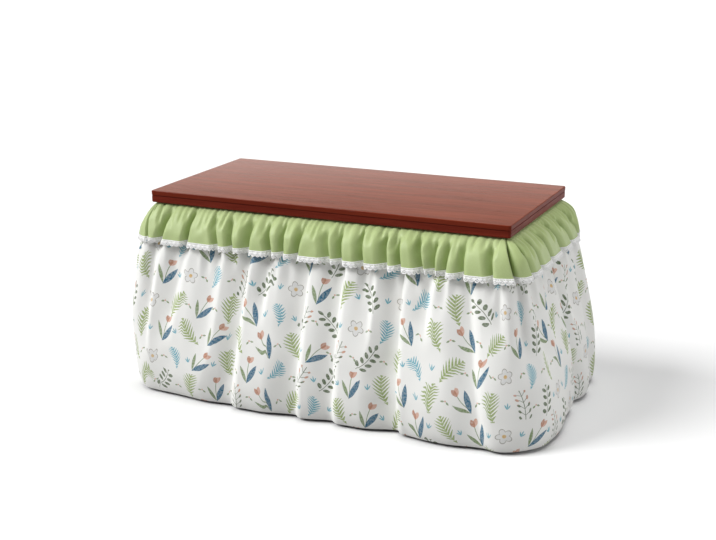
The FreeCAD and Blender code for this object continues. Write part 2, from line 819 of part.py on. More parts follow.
def tenon(name, sx, sy, slack):
    """A lower rail's tenon inside one leg, or with slack its mortise."""
    length = d.tenon_length + slack * 2
    y = sy * (leg_inner_y + d.tenon_length / 2)
    z = d.lower_rail_low + (d.lower_rail_height - d.tenon_height) / 2 - slack
    return block(name, sx * leg_x, y, z, d.tenon_thick + slack * 2, length, d.tenon_height + slack * 2)


def bolt_ends(corner):
    return [corner_spot(corner, flat_reach() + d.bolt_out, 0, z) for z in bolt_heights()]


def make_hanger_bolts():
    bolts = []
    for corner in CORNERS:
        for i, spot in enumerate(bolt_ends(corner)):
            way = corner_way(corner, -1, 0)
            bolts.append(rod(f"Bolt_{corner[0]}_{i}", *spot, d.bolt_radius, d.bolt_length, way))
    node(group("HangerBolts", bolts), "hanger_bolts")


def plate_reach():
    """Distance from a leg's axis to the outer face of its bracket's plate."""
    return flat_reach() + d.bracket_gap


def bracket_bend():
    """Half the width of the plate's outer face, where the flange meets the rail."""
    return plate_reach() - (leg_x - rail_inner_x) * math.sqrt(2)


def bracket_screw_place():
    """A flange screw's head against the inner face of the flange, u and v from the leg's axis."""
    along = d.flange_hole * HALF
    across = d.bracket_thick * HALF
    return plate_reach() + along + across, bracket_bend() + along - across


def make_corner_brackets():
    """Bent steel plates across the frame's corners, a flange on each rail."""
    brackets = []
    near, bend, thick = plate_reach(), bracket_bend(), d.bracket_thick
    run = d.bracket_flange * HALF
    arm = [
        (near, bend),
        (near + run, bend + run),
        (near + run + thick * HALF, bend + run - thick * HALF),
        (near + thick, bend - thick * (math.sqrt(2) - 1)),
    ]
    low = frame_top - (d.rail_height + d.bracket_height) / 2
    for corner in CORNERS:
        label, sx, sy, angle = corner
        plate = DOC.addObject("PartDesign::Body", f"BracketBlank_{label}")
        profile = sketch(plate, f"BracketProfile_{label}", "XY_Plane", low)
        polygon(profile, arm + [(u, -v) for u, v in arm[::-1]])
        pad(plate, f"BracketPad_{label}", profile, d.bracket_height)
        stand(plate, angle, sx * leg_x, sy * leg_y, 0)
        tools = []
        for i, z in enumerate(bolt_heights()):
            spot = corner_spot(corner, flat_reach(), 0, z)
            way = corner_way(corner, 1, 0)
            radius = d.bolt_radius + d.bolt_clearance
            tools.append(rod(f"PlateHole_{label}_{i}", *spot, radius, d.bracket_gap + thick * 2, way))
            for across in (-1, 1):
                u, v = bracket_screw_place()
                spot = corner_spot(corner, u, across * v, z)
                way = corner_way(corner, -HALF, across * HALF)
                radius = d.screw_radius + d.screw_clearance
                tools.append(rod(f"FlangeHole_{label}_{i}_{across + 1}", *spot, radius, thick * 2, way))
        brackets.append(cut(f"Bracket_{label}", plate, tools))
    node(group("CornerBrackets", brackets), "corner_brackets")


def make_wing_nuts():
    nuts = []
    for corner in CORNERS:
        way = corner_way(corner, 1, 0)
        for i, z in enumerate(bolt_heights()):
            name = f"{corner[0]}_{i}"
            x, y, z = corner_spot(corner, plate_reach() + d.bracket_thick, 0, z)
            hub = rod(f"NutHub_{name}", x, y, z, d.nut_radius, d.nut_height, way)
            wing = DOC.addObject("Part::Box", f"NutWing_{name}")
            bind(wing, Length=d.wing_height, Width=d.wing_span, Height=d.wing_thick)
            corner_of_wing = corner_spot(
                corner, plate_reach() + d.bracket_thick + d.wing_foot, -d.wing_span / 2, z - d.wing_thick / 2
            )
            stand(wing, corner[3], *corner_of_wing)
            bore = rod(f"NutBore_{name}", x, y, z, d.bolt_radius + d.slack, d.wing_span, way)
            nuts.append(cut(f"Nut_{name}", fuse(f"NutSolid_{name}", [hub, wing]), [bore]))
    node(group("WingNuts", nuts), "wing_nuts")


def make_upper_rails():
    for side, turn, _, _ in SIDES:
        long_side = side in ("front", "back")
        run = leg_inner_x if long_side else leg_inner_y
        inner = rail_inner_y if long_side else rail_inner_x
        sign = -1 if side in ("front", "left") else 1
        middle = sign * (inner + d.rail_thick / 2)
        if long_side:
            rail = block(f"RailBlank_{side}", 0, middle, rail_low, run * 2, d.rail_thick, d.rail_height)
        else:
            rail = block(f"RailBlank_{side}", middle, 0, rail_low, d.rail_thick, run * 2, d.rail_height)
        drilled(f"Rail_{side}", f"rail_{side}", rail)


def make_inner_rails():
    """Rails along Y: two that carry the heater and two near the floor with a tenon at each end."""
    for side, sx in (("left", -1), ("right", 1)):
        low = frame_top - d.heater_rail_drop - d.heater_rail_height
        width, run, height = d.heater_rail_width, rail_inner_y * 2, d.heater_rail_height
        blank = block(f"HeaterRailBlank_{side}", sx * heater_rail_x, 0, low, width, run, height)
        drilled(f"HeaterRail_{side}", f"heater_rail_{side}", blank)
        width, run, height = d.lower_rail_thick, leg_inner_y * 2, d.lower_rail_height
        bar = block(f"LowerRailBar_{side}", sx * leg_x, 0, d.lower_rail_low, width, run, height)
        tenons = [tenon(f"Tenon_{side}_{sy + 1}", sx, sy, 0) for sy in (-1, 1)]
        blank = fuse(f"LowerRailBlank_{side}", [bar] + tenons)
        drilled(f"LowerRail_{side}", f"lower_rail_{side}", blank)


def make_foot_slats():
    run = leg_x * 2 + d.lower_rail_thick
    for i, y in slat_places():
        blank = block(f"SlatBlank_{i}", 0, y, slat_low, run, d.slat_width, d.slat_thick)
        drilled(f"Slat_{i}", f"foot_slat_{i}", blank)


# Levelling feet


def make_feet():
    """Turned foot, pad and stud in one, that screws down out of the leg."""
    for label, sx, sy, _ in CORNERS:
        foot = body(f"Foot_{label}", f"foot_{label}")
        profile = sketch(foot, f"FootProfile_{label}", "XZ_Plane")
        rim = d.foot_radius - d.foot_sole
        top = d.foot_height + d.stud_length
        polygon(
            profile,
            [
                (0, 0),
                (rim, 0),
                (d.foot_radius, d.foot_sole),
                (d.foot_radius, d.foot_height),
                (d.stud_radius, d.foot_height),
                (d.stud_radius, top),
                (0, top),
            ],
        )
        revolution(foot, f"FootTurned_{label}", profile)
        stand(foot, 0, sx * leg_x, sy * leg_y, 0)


def make_tee_nuts():
    nuts = []
    for label, sx, sy, _ in CORNERS:
        x, y = sx * leg_x, sy * leg_y
        flange = rod(f"TeeFlange_{label}", x, y, d.foot_height, d.tee_radius, d.tee_flange)
        barrel = rod(f"TeeBarrel_{label}", x, y, d.foot_height, d.tee_barrel, d.tee_length)
        bore = rod(f"TeeBore_{label}", x, y, d.foot_height, d.stud_radius + d.slack, d.tee_length)
        nuts.append(cut(f"Tee_{label}", fuse(f"TeeSolid_{label}", [flange, barrel]), [bore]))
    node(group("TeeNuts", nuts), "tee_nuts")


# Heater

OUT = Vector(0, -1, 0)
ALONG = Vector(1, 0, 0)


def make_housing():
    """Sheet-steel box, open below, that hangs from the heater rails by four tabs."""
    height = d.heater_above + d.heater_below
    outside = block("HousingBlock", 0, 0, heater_floor, d.heater_size, d.heater_size, height)
    outside = rounded("HousingOutside", outside, d.heater_corner, upright_edges)
    bare = heater_wall * 2
    inside = block("HousingHollow", 0, 0, heater_floor, bare, bare, height - d.sheet_thick)
    inside = rounded("HousingInside", inside, d.heater_corner - d.sheet_thick, upright_edges)
    tabs, tools = [], []
    for sx in (-1, 1):
        for sy in (-1, 1):
            x, y = sx * (heater_face + d.tab_reach / 2), sy * d.tab_place
            name, low = f"{sx + 1}_{sy + 1}", tab_plane - d.sheet_thick
            tabs.append(block(f"Tab_{name}", x, y, low, d.tab_reach, d.tab_width, d.sheet_thick))
            radius = d.screw_radius + d.tab_clearance
            tools.append(rod(f"TabHole_{name}", x, y, low, radius, d.sheet_thick))
    wall, fit = d.sheet_thick, d.panel_fit * 2
    radius = d.spindle_radius + d.spindle_clearance
    tools.append(rod("SpindleHole", d.knob_place, -heater_wall, controls_z, radius, wall, OUT))
    radius = d.lens_radius + d.panel_fit
    tools.append(rod("LensHole", d.lens_place, -heater_wall, controls_z, radius, wall, OUT))
    width, tall = sleeve_width() + fit, sleeve_height() + fit
    middle = -heater_face + wall / 2
    tools.append(block("BezelHole", d.switch_place, middle, controls_z - tall / 2, width, wall, tall))
    width, tall = d.inlet_width + fit, d.inlet_height + fit
    tools.append(block("InletHole", -d.lens_place, -middle, controls_z - tall / 2, width, wall, tall))
    slots = int(number(d.vent_count))
    for i in range(slots):
        x = (i - (slots - 1) / 2) * d.vent_pitch
        tools.append(block(f"Vent_{i}", x, d.fan_place, heater_ceiling, d.vent_width, d.vent_length, wall))
    shell = cut("HousingShell", outside, [inside])
    node(cut("Housing", fuse("HousingWithTabs", [shell] + tabs), tools), "heater_housing")


def tube_places():
    return (("front", d.tube_front), ("back", d.tube_back))


def make_reflector():
    """Polished sheet with a trough over each tube, hung from the roof by two straps."""
    length = d.reflector_length
    low, high = d.tube_front - d.trough_radius, d.tube_back + d.trough_radius
    rim, thick = d.reflector_rim, d.reflector_thick
    solids = [box("ReflectorSheet", -length / 2, low - rim, tube_z, length, high - low + rim * 2, thick)]
    tools = []
    for side, y in tube_places():
        solids.append(rod(f"TroughOut_{side}", -length / 2, y, tube_z, d.trough_radius, length, ALONG))
        inner = d.trough_radius - thick
        tools.append(rod(f"TroughIn_{side}", -length / 2, y, tube_z, inner, length, ALONG))
    drop = d.trough_radius
    tools.append(block("BelowTroughs", 0, 0, tube_z - drop, length * 2, length * 2, drop))
    for i, sx in enumerate((-1, 1)):
        y = (d.tube_front + d.tube_back) / 2
        rise = heater_ceiling - tube_z - thick
        wide, deep = d.hanger_width * 2, d.hanger_width
        strap = block(f"Strap_{i}", sx * d.hanger_place, y, tube_z + thick, wide, deep, rise)
        solids.append(strap)
    node(cut("Reflector", fuse("ReflectorSolid", solids), tools), "heater_reflector")


def make_tubes():
    elements, holders = [], []
    for side, y in tube_places():
        start = -d.tube_length / 2
        glass = rod(f"Glass_{side}", start, y, tube_z, d.tube_radius, d.tube_length, ALONG)
        inside = rod(f"GlassBore_{side}", start, y, tube_z, d.tube_bore, d.tube_length, ALONG)
        node(cut(f"Tube_{side}", glass, [inside]), f"heater_tube_{side}")
        length = d.element_length
        elements.append(rod(f"Element_{side}", -length / 2, y, tube_z, d.element_radius, length, ALONG))
        for sx in (-1, 1):
            name, low = f"{side}_{sx + 1}", tube_z - d.holder_below
            near = d.tube_length / 2 - d.holder_grip
            middle = sx * (near + d.holder_thick / 2)
            rise = heater_ceiling - low
            post = block(f"Post_{name}", middle, y, low, d.holder_thick, d.holder_width, rise)
            way = ALONG * sx
            seat = rod(
                f"Seat_{name}", sx * near, y, tube_z, d.tube_radius + d.slack, d.holder_grip + d.slack, way
            )
            reach = d.element_length / 2 - near + d.slack
            core = rod(f"Core_{name}", sx * near, y, tube_z, d.element_radius + d.slack, reach, way)
            holders.append(cut(f"Holder_{name}", post, [seat, core]))
    node(group("HeatingElements", elements), "heating_elements")
    node(group("TubeHolders", holders), "tube_holders")


def make_grille():
    """Guard under the tubes: a rim with bars along Y on two strips."""
    low = heater_floor - d.grille_height
    outside = block("GuardBlock", 0, 0, low, d.heater_size, d.heater_size, d.grille_height)
    outside = rounded("GuardOutside", outside, d.heater_corner, upright_edges)
    bare = d.heater_size - d.grille_thick * 2
    inside = block("GuardInside", 0, 0, low, bare, bare, d.grille_height)
    solids = [cut("GuardRim", outside, [inside])]
    run = d.heater_size - d.grille_thick
    bar_z = low + d.grille_height / 2
    bars = int(number(d.grille_bars))
    for i in range(bars):
        x = (i - (bars - 1) / 2) * d.grille_pitch
        solids.append(rod(f"GuardBar_{i}", x, -run / 2, bar_z, d.grille_bar, run, -OUT))
    strip = d.grille_bar * 2
    strip_z = bar_z - d.grille_bar + d.grille_bite - strip
    for i, sy in enumerate((-1, 1)):
        y = sy * d.heater_size / 4
        solids.append(block(f"GuardStrip_{i}", 0, y, strip_z, run, strip, strip))
    node(fuse("Guard", solids), "heater_grille")


def make_fan():
    motor_low = heater_ceiling - d.motor_height
    hold = d.motor_height / 2
    case = rod("MotorCase", 0, d.fan_place, motor_low, d.motor_radius, d.motor_height)
    bearing = rod("MotorBore", 0, d.fan_place, motor_low, d.shaft_radius + d.slack, hold + d.drill_over)
    node(cut("Motor", case, [bearing]), "fan_motor")
    low = motor_low + hold - d.shaft_length
    node(rod("Shaft", 0, d.fan_place, low, d.shaft_radius, d.shaft_length), "fan_shaft")
    wheel = body("Impeller", "fan_impeller")
    disc = sketch(wheel, "ImpellerDisc", "XY_Plane", d.fan_height - d.blade_thick)
    circle(disc, 0, 0, d.fan_radius)
    pad(wheel, "ImpellerDiscPad", disc, d.blade_thick)
    hub = sketch(wheel, "ImpellerHub", "XY_Plane")
    circle(hub, 0, 0, d.fan_hub)
    pad(wheel, "ImpellerHubPad", hub, d.fan_height)
    blade = sketch(wheel, "ImpellerBlade", "XY_Plane")
    half = d.blade_thick / 2
    inner = d.fan_hub - d.blade_root
    polygon(blade, [(inner, -half), (d.fan_radius, -half), (d.fan_radius, half), (inner, half)])
    first = pad(wheel, "ImpellerBladePad", blade, d.fan_height)
    DOC.recompute()
    around(wheel, "ImpellerBlades", first, hub, d.fan_blades)
    bore = sketch(wheel, "ImpellerBore", "XY_Plane")
    circle(bore, 0, 0, d.shaft_radius)
    pocket(wheel, "ImpellerBorePocket", bore, d.fan_height, True)
    stand(wheel, 0, 0, d.fan_place, motor_low - d.fan_gap - d.fan_height)


def make_knob():
    """Fluted knob with a pointer slot; its own +Z runs out of the housing's face."""
    knob = body("Knob", "control_knob")
    outline = sketch(knob, "KnobOutline", "XY_Plane")
    circle(outline, 0, 0, d.knob_radius)
    turned = pad(knob, "KnobPad", outline, d.knob_depth)
    DOC.recompute()
    rim = knob.newObject("PartDesign::Fillet", "KnobRim")
    rim.Base = (turned, [f"Edge{i}" for i in level_edges(turned.Shape, d.knob_depth)])
    bind(rim, Radius=d.knob_round)
    flute = sketch(knob, "KnobFlute", "XY_Plane")
    circle(flute, d.knob_radius + d.grip_radius / 2, 0, d.grip_radius)
    first = pocket(knob, "KnobFlutePocket", flute, d.knob_depth, True)
    around(knob, "KnobFlutes", first, outline, d.grip_count)
    slot = sketch(knob, "KnobPointer", "XY_Plane", d.knob_depth)
    half, near, far = d.pointer_width / 2, d.knob_radius / 4, d.knob_radius - d.knob_round
    polygon(slot, [(-half, near), (half, near), (half, far), (-half, far)])
    pocket(knob, "KnobPointerPocket", slot, d.pointer_width / 2)
    bore = sketch(knob, "KnobBore", "XY_Plane")
    circle(bore, 0, 0, d.spindle_radius + d.slack)
    pocket(knob, "KnobBorePocket", bore, d.knob_bore, True)
    knob.Placement = Placement(Vector(), Rotation(UP, OUT))
    place(knob, d.knob_place, -heater_face - d.knob_gap, controls_z)


def make_thermostat():
    x, size, depth = d.knob_place, d.thermostat_size, d.thermostat_depth
    case = block("ThermostatCase", x, -heater_wall + depth / 2, controls_z - size / 2, size, depth, size)
    reach = d.spindle_inside + d.drill_over
    bore = rod("ThermostatBore", x, -heater_wall, controls_z, d.spindle_radius + d.slack, reach, -OUT)
    node(cut("Thermostat", case, [bore]), "thermostat")
    length = d.spindle_inside + d.sheet_thick + d.knob_gap + d.knob_bore
    start = -heater_wall + d.spindle_inside
    node(rod("Spindle", x, start, controls_z, d.spindle_radius, length, OUT), "thermostat_spindle")


def rocker_hole_height():
    return (d.rocker_swing + d.rocker_play) * 2


def sleeve_width():
    return d.rocker_width + (d.rocker_play + d.bezel_wall) * 2


def sleeve_height():
    return rocker_hole_height() + d.bezel_wall * 2


def make_switch():
    """Rocker in a bezel: it leans about its pivot, drawn here with its upper end out."""
    x, face = d.switch_place, -heater_face
    low = controls_z - d.bezel_height / 2
    thick = d.bezel_thick
    flange = block("BezelFlange", x, face - thick / 2, low, d.bezel_width, thick, d.bezel_height)
    width, tall = sleeve_width(), sleeve_height()
    low = controls_z - tall / 2
    sleeve = block("BezelSleeve", x, face + d.bezel_depth / 2, low, width, d.bezel_depth, tall)
    width, tall = width - d.bezel_wall * 2, rocker_hole_height()
    run = d.bezel_thick + d.bezel_depth - d.bezel_wall
    middle = face - d.bezel_thick + run / 2
    hollow = block("BezelHollow", x, middle, controls_z - tall / 2, width, run, tall)
    length = sleeve_width()
    radius = d.pivot_radius + d.slack
    axle = rod("BezelPivotHole", x - length / 2, face, controls_z, radius, length, ALONG)
    node(cut("Bezel", fuse("BezelSolid", [flange, sleeve]), [hollow, axle]), "switch_bezel")

    blank = DOC.addObject("PartDesign::Body", "RockerBlank")
    profile = sketch(blank, "RockerProfile", "YZ_Plane")
    polygon(
        profile,
        [
            (-d.rocker_front, d.rocker_reach),
            (-d.rocker_dip, 0),
            (-d.rocker_front, -d.rocker_reach),
            (d.rocker_back, -d.rocker_tail),
            (d.rocker_back, d.rocker_tail),
        ],
    )
    paddle = pad(blank, "RockerPad", profile, d.rocker_width)
    paddle.Midplane = True
    length = d.rocker_width + (d.rocker_play + d.pivot_out) * 2
    pivot = rod("RockerPivot", -length / 2, 0, 0, d.pivot_radius, length, ALONG)
    rocker = node(fuse("Rocker", [blank, pivot]), "rocker_switch")
    rocker.Placement = Placement(Vector(), Rotation(ALONG, number(d.rocker_tilt)))
    place(rocker, x, face, controls_z)


def make_lens():
    x = d.lens_place
    rim = rod("LensRim", x, -heater_face, controls_z, d.lens_rim, d.bezel_thick, OUT)
    stem = rod("LensStem", x, -heater_face + d.lens_depth, controls_z, d.lens_radius, d.lens_depth, OUT)
    dome = DOC.addObject("Part::Sphere", "LensDome")
    bind(dome, Radius=d.lens_radius)
    place(dome, x, -heater_face - d.bezel_thick, controls_z)
    node(fuse("Lens", [rim, stem, dome]), "pilot_lens")


def make_inlet():
    """Socket for a lead in the housing's back wall, with two pins."""
    x, face = -d.lens_place, heater_face
    width, tall, around_it = d.inlet_width, d.inlet_height, d.inlet_flange * 2
    outer_low = controls_z - (tall + around_it) / 2
    thick = d.bezel_thick
    flange = block("InletFlange", x, face + thick / 2, outer_low, width + around_it, thick, tall + around_it)
    low = controls_z - tall / 2
    case = block("InletCase", x, face - d.inlet_depth / 2, low, width, d.inlet_depth, tall)
    rim = d.inlet_wall * 2
    start = face + thick - d.inlet_well
    socket = box(
        "InletSocket",
        x - (width - rim) / 2,
        start,
        low + d.inlet_wall,
        width - rim,
        d.inlet_well,
        tall - rim,
    )
    pins = [
        rod(f"InletPin_{i}", x + sx * d.pin_pitch / 2, start, controls_z, d.pin_radius, d.pin_length, -OUT)
        for i, sx in enumerate((-1, 1))
    ]
    shell = cut("InletShell", fuse("InletSolid", [flange, case]), [socket])
    node(group("Inlet", [shell] + pins), "power_inlet")


# Cover


def eased(low, high, value):
    """Runs smoothly from 0 at low to 1 at high."""
    share = max(0, min((value - low) / (high - low), 1))
    return share * share * (3 - 2 * share)


def fold_place(fold, height):
    """Way round of a fold's valley at a height."""
    header, hem = fold[:2]
    low = number(d.skirt_level_1)
    share = max(0, min((height - low) / (number(d.header_height) - low), 1))
    return hem + (header - hem) * share ** number(d.header_rounding)


def fold_depth(folds, around, way, height):
    """How deep the folds are together at a way round and a height, before a drape's row scales them."""
    low = number(d.skirt_level_1)
    opened = 1 + number(d.fold_opening) * (1 - (height - low) / (number(d.header_height) - low))
    power, crease = number(d.fold_sharpness), number(d.fold_crease)
    total = 0
    for fold in folds:
        _, _, end, depth, before, after = fold
        away = (way - fold_place(fold, height) + around / 2) % around - around / 2
        flank = min(abs(away) / ((before if away < 0 else after) * opened), 1)
        shape = crease * (1 - flank) + (1 - crease) * (1 + math.cos(flank * math.pi)) / 2
        if end:
            shape *= eased(end, end + number(d.fold_fade) * (number(d.table_height) - end), height)
        total += (depth * shape) ** power
    return total ** (1 / power)


def stand_out(row, outline, swells, way):
    """How far the cloth's crests stand outside the legs' faces at a way round, for one row of a drape."""
    height, front, narrow, wide = row[:4]
    pairs = list(zip(outline, outline[1:]))
    first, second = next((a, b) for a, b in pairs if way <= b[0])
    share = (way - first[0]) / (second[0] - first[0])
    to_narrow, to_wide = (a + (b - a) * share for a, b in zip(first[1:], second[1:]))
    out = front + to_narrow * (narrow - front) + to_wide * (wide - front)
    for middle, level, half_wide, half_tall, size in swells:
        out += size * math.exp(-(((way - middle) / half_wide) ** 2) - ((height - level) / half_tall) ** 2)
    return out


def fold_ways(folds, start, end, height):
    """Ways round of the points that draw a wall's folds: equal steps from crest to valley to crest."""
    own = [fold for fold in folds if start < fold[1] < end]
    valleys = [fold_place(fold, height) for fold in own]
    crests = [start]
    for i in range(len(own) - 1):
        after, before = own[i][5], own[i + 1][4]
        crests.append(valleys[i] + (valleys[i + 1] - valleys[i]) * after / (after + before))
    crests.append(end)
    half = int(number(d.fold_points)) // 2
    ways = []
    for crest, valley, following in zip(crests, valleys, crests[1:]):
        ways += [crest + (valley - crest) * i / half for i in range(half)]
        ways += [valley + (following - valley) * i / half for i in range(half)]
    return ways + [end]


def cloth_wall(cloth, side, turn, half, reach, start, thick):
    """One wall of the cover: a hanging sheet from corner to corner whose folds run down from its header.

    The plan of every level is the legs' outline pushed outward, with round corners; the wall ends on the
    corners' diagonals, where it meets its neighbours.
    """
    folds, swells, outline = d.table("fold"), d.table("swell"), d.table("outline")
    around, corner = outline[-1][0], number(d.corner_way)
    end = start + 2 * half + corner
    wires = []
    for row in d.table(cloth):
        height, share, most = row[0], row[4], row[5] if half > reach else row[6]
        rows = [[], []]
        for way in fold_ways(folds, start, end, height):
            fold = min(share * fold_depth(folds, around, way, height), most)
            from_middle = way - (start + end) / 2
            past = max(abs(from_middle) - half, 0)
            bend = math.copysign(past / corner * math.pi / 2, from_middle)
            along = max(-half, min(from_middle, half))
            for points, inset in zip(rows, (0, thick)):
                out = stand_out(row, outline, swells, way) - fold - inset
                points.append(Vector(along + out * math.sin(bend), -reach - out * math.cos(bend), height))
        outer, inner = (fold_edges(points) for points in rows)
        ends = [Part.makeLine(rows[0][-1], rows[1][-1]), Part.makeLine(rows[1][0], rows[0][0])]
        wires.append(Part.Wire(outer + ends[:1] + inner[::-1] + ends[1:]))
    item = DOC.addObject("Part::Feature", f"{cloth}_{side}")
    item.Shape = Part.makeLoft(wires, True, True)
    item.Placement = Placement(Vector(), Rotation(UP, turn))
    return item


def fold_edges(points):
    """A smooth curve through points, as one edge for each fold."""
    marks = [0.0]
    for before, after in zip(points, points[1:]):
        marks.append(marks[-1] + before.distanceToPoint(after))
    curve = Part.BSplineCurve()
    curve.interpolate(Points=points, Parameters=marks)
    cuts = marks[:: int(number(d.fold_points))]
    return [curve.toShape(start, end) for start, end in zip(cuts, cuts[1:])]


def make_cover():
    """Skirt, frill and lace, each in four walls, and the elastic that grips the frame."""
    half_x, half_y = number(leg_face_x), number(leg_face_y)
    cloth, lace = number(d.cloth_thick), number(d.lace_thick)
    laces = []
    start = 0
    for side, turn, _, _ in SIDES:
        half, reach = (half_x, half_y) if side in ("front", "back") else (half_y, half_x)
        for name in ("skirt", "frill"):
            node(cloth_wall(name, side, turn, half, reach, start, cloth), f"{name}_{side}")
        laces.append(cloth_wall("lace", side, turn, half, reach, start, lace))
        start += 2 * half + number(d.corner_way)
    node(group("LaceTrim", laces), "lace_trim")

    low = d.header_height - d.waist_height
    inner = d.waist_gap
    outer = d.waist_gap + d.waist_thick
    height = d.waist_height
    band = block("WaistOut", 0, 0, low, (leg_face_x + outer) * 2, (leg_face_y + outer) * 2, height)
    hollow = block("WaistIn", 0, 0, low, (leg_face_x + inner) * 2, (leg_face_y + inner) * 2, height)
    node(cut("Waist", band, [hollow]), "waist_elastic")


def export():
    """Writes every sub-part once each object of the document is sound."""
    DOC.recompute()
    for item in DOC.Objects:
        if "Invalid" in item.State or "Error" in item.State:
            raise RuntimeError(f"{item.Name} failed: {item.State}")
    os.makedirs(PARTS, exist_ok=True)
    for item in SUBPARTS:
        shape = item.Shape
        if shape.isNull() or not shape.isValid():
            raise RuntimeError(f"{item.Label} has no sound shape")
        shape.exportStep(os.path.join(PARTS, item.Label + ".step"))
        print(f"{item.Label}: {len(shape.Solids)} solid(s), {shape.Volume / 1000:.1f} cm3")
    print(f"{len(SUBPARTS)} sub-parts")


make_screws()
make_top_panel()
make_top_edges()
make_top_battens()
make_top_pads()
for corner in CORNERS:
    make_leg(corner)
make_hanger_bolts()
make_corner_brackets()
make_wing_nuts()
make_upper_rails()
make_inner_rails()
make_foot_slats()
make_feet()
make_tee_nuts()
make_housing()
make_reflector()
make_tubes()
make_grille()
make_fan()
make_knob()
make_thermostat()
make_switch()
make_lens()
make_inlet()
make_cover()
export()
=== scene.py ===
"""Looks of the heated low table: a gathered cover with frill and lace, and every material.

Everything is in metres, in the frame's axes: +X along the table, +Y to its back, +Z up. The cover is drawn
by two numbers: t, the way round the table from its front left corner, and the height over the floor.
"""

import json
import math
from collections import namedtuple

import bmesh
import bpy
import numpy as np
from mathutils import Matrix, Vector
from mathutils.geometry import delaunay_2d_cdt


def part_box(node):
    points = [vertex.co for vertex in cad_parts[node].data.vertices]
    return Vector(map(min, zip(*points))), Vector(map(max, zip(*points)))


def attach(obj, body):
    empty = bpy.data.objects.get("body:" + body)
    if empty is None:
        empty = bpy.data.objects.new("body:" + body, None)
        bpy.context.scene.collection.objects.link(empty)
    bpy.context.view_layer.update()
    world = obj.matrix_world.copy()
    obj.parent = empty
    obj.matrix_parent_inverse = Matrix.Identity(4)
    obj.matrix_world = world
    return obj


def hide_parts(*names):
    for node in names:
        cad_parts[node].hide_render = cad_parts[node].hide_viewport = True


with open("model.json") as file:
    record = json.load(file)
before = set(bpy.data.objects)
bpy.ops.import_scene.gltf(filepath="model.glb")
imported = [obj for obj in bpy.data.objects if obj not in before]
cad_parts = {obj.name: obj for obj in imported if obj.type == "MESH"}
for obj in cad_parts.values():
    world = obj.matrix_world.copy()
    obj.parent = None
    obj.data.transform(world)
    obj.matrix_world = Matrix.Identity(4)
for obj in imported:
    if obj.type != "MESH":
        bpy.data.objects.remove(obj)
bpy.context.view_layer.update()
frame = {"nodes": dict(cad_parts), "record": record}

MM = 0.001
FULL_TURN = 2 * math.pi


def link(data, name):
    """An object in the scene that holds a mesh, lamp or camera."""
    item = bpy.data.objects.new(name, data)
    bpy.context.scene.collection.objects.link(item)
    return item


# ---------------------------------------------------------------- camera, light and floor

# The lens is given by the focal length in pixels of a picture this wide.
PICTURE_WIDTH = 716
FOCAL_PIXELS = 1329.7
SENSOR = 36
CAMERA_PLACE = (1.677, -3.85, 1.563)
CAMERA_TURN = math.radians(23.62)
CAMERA_DIP = math.radians(15.66)


def make_camera():
    camera = bpy.data.cameras.new("camera")
    camera.sensor_width = SENSOR
    camera.lens = SENSOR * FOCAL_PIXELS / PICTURE_WIDTH
    holder = link(camera, "camera")
    holder.location = CAMERA_PLACE
    holder.rotation_euler = (math.pi / 2 - CAMERA_DIP, 0, CAMERA_TURN)
    bpy.context.scene.camera = holder


def sun(name, direction, strength, softness, mirrored):
    """A far lamp in a direction; softness is its disc's size in degrees, mirrored says if gloss shows it."""
    lamp = bpy.data.lights.new(name, "SUN")
    lamp.energy = strength
    lamp.angle = math.radians(softness)
    holder = link(lamp, name)
    holder.rotation_euler = Vector(direction).to_track_quat("Z", "Y").to_euler()
    holder.visible_glossy = mirrored


def is_shown(nodes, links):
    """1 for what the camera sees, also in metal or through glass, and 0 for light on the object."""
    path = nodes.new("ShaderNodeLightPath")
    shown = path.outputs["Is Camera Ray"]
    for name in ("Is Glossy Ray", "Is Transmission Ray"):
        either = nodes.new("ShaderNodeMath")
        either.operation = "MAXIMUM"
        links.new(shown, either.inputs[0])
        links.new(path.outputs[name], either.inputs[1])
        shown = either.outputs[0]
    return shown


# The lamps: name, direction, strength, softness, and whether gloss mirrors the lamp's disc.
LAMPS = (
    ("key", (-0.8, -0.56, 0.82), 3.0, 34, True),
    ("fill", (0.95, 0.05, 0.3), 1.1, 50, False),
    ("overhead", (0.1, 0.2, 1.0), 1.25, 40, False),
)
SKY_STRENGTH = 0.16

# The surround that gloss and glass show, from the horizon up: white, then a warm grey that darkens.
# The eye itself sees white.
SURROUND = (
    (0.0, (1.0, 1.0, 1.0)),
    (0.03, (1.0, 1.0, 1.0)),
    (0.15, (1.0, 0.92, 0.88)),
    (0.19, (0.86, 0.73, 0.67)),
    (0.213, (0.44, 0.33, 0.28)),
    (0.235, (0.27, 0.17, 0.13)),
    (0.26, (0.27, 0.18, 0.14)),
    (0.6, (0.24, 0.18, 0.15)),
)


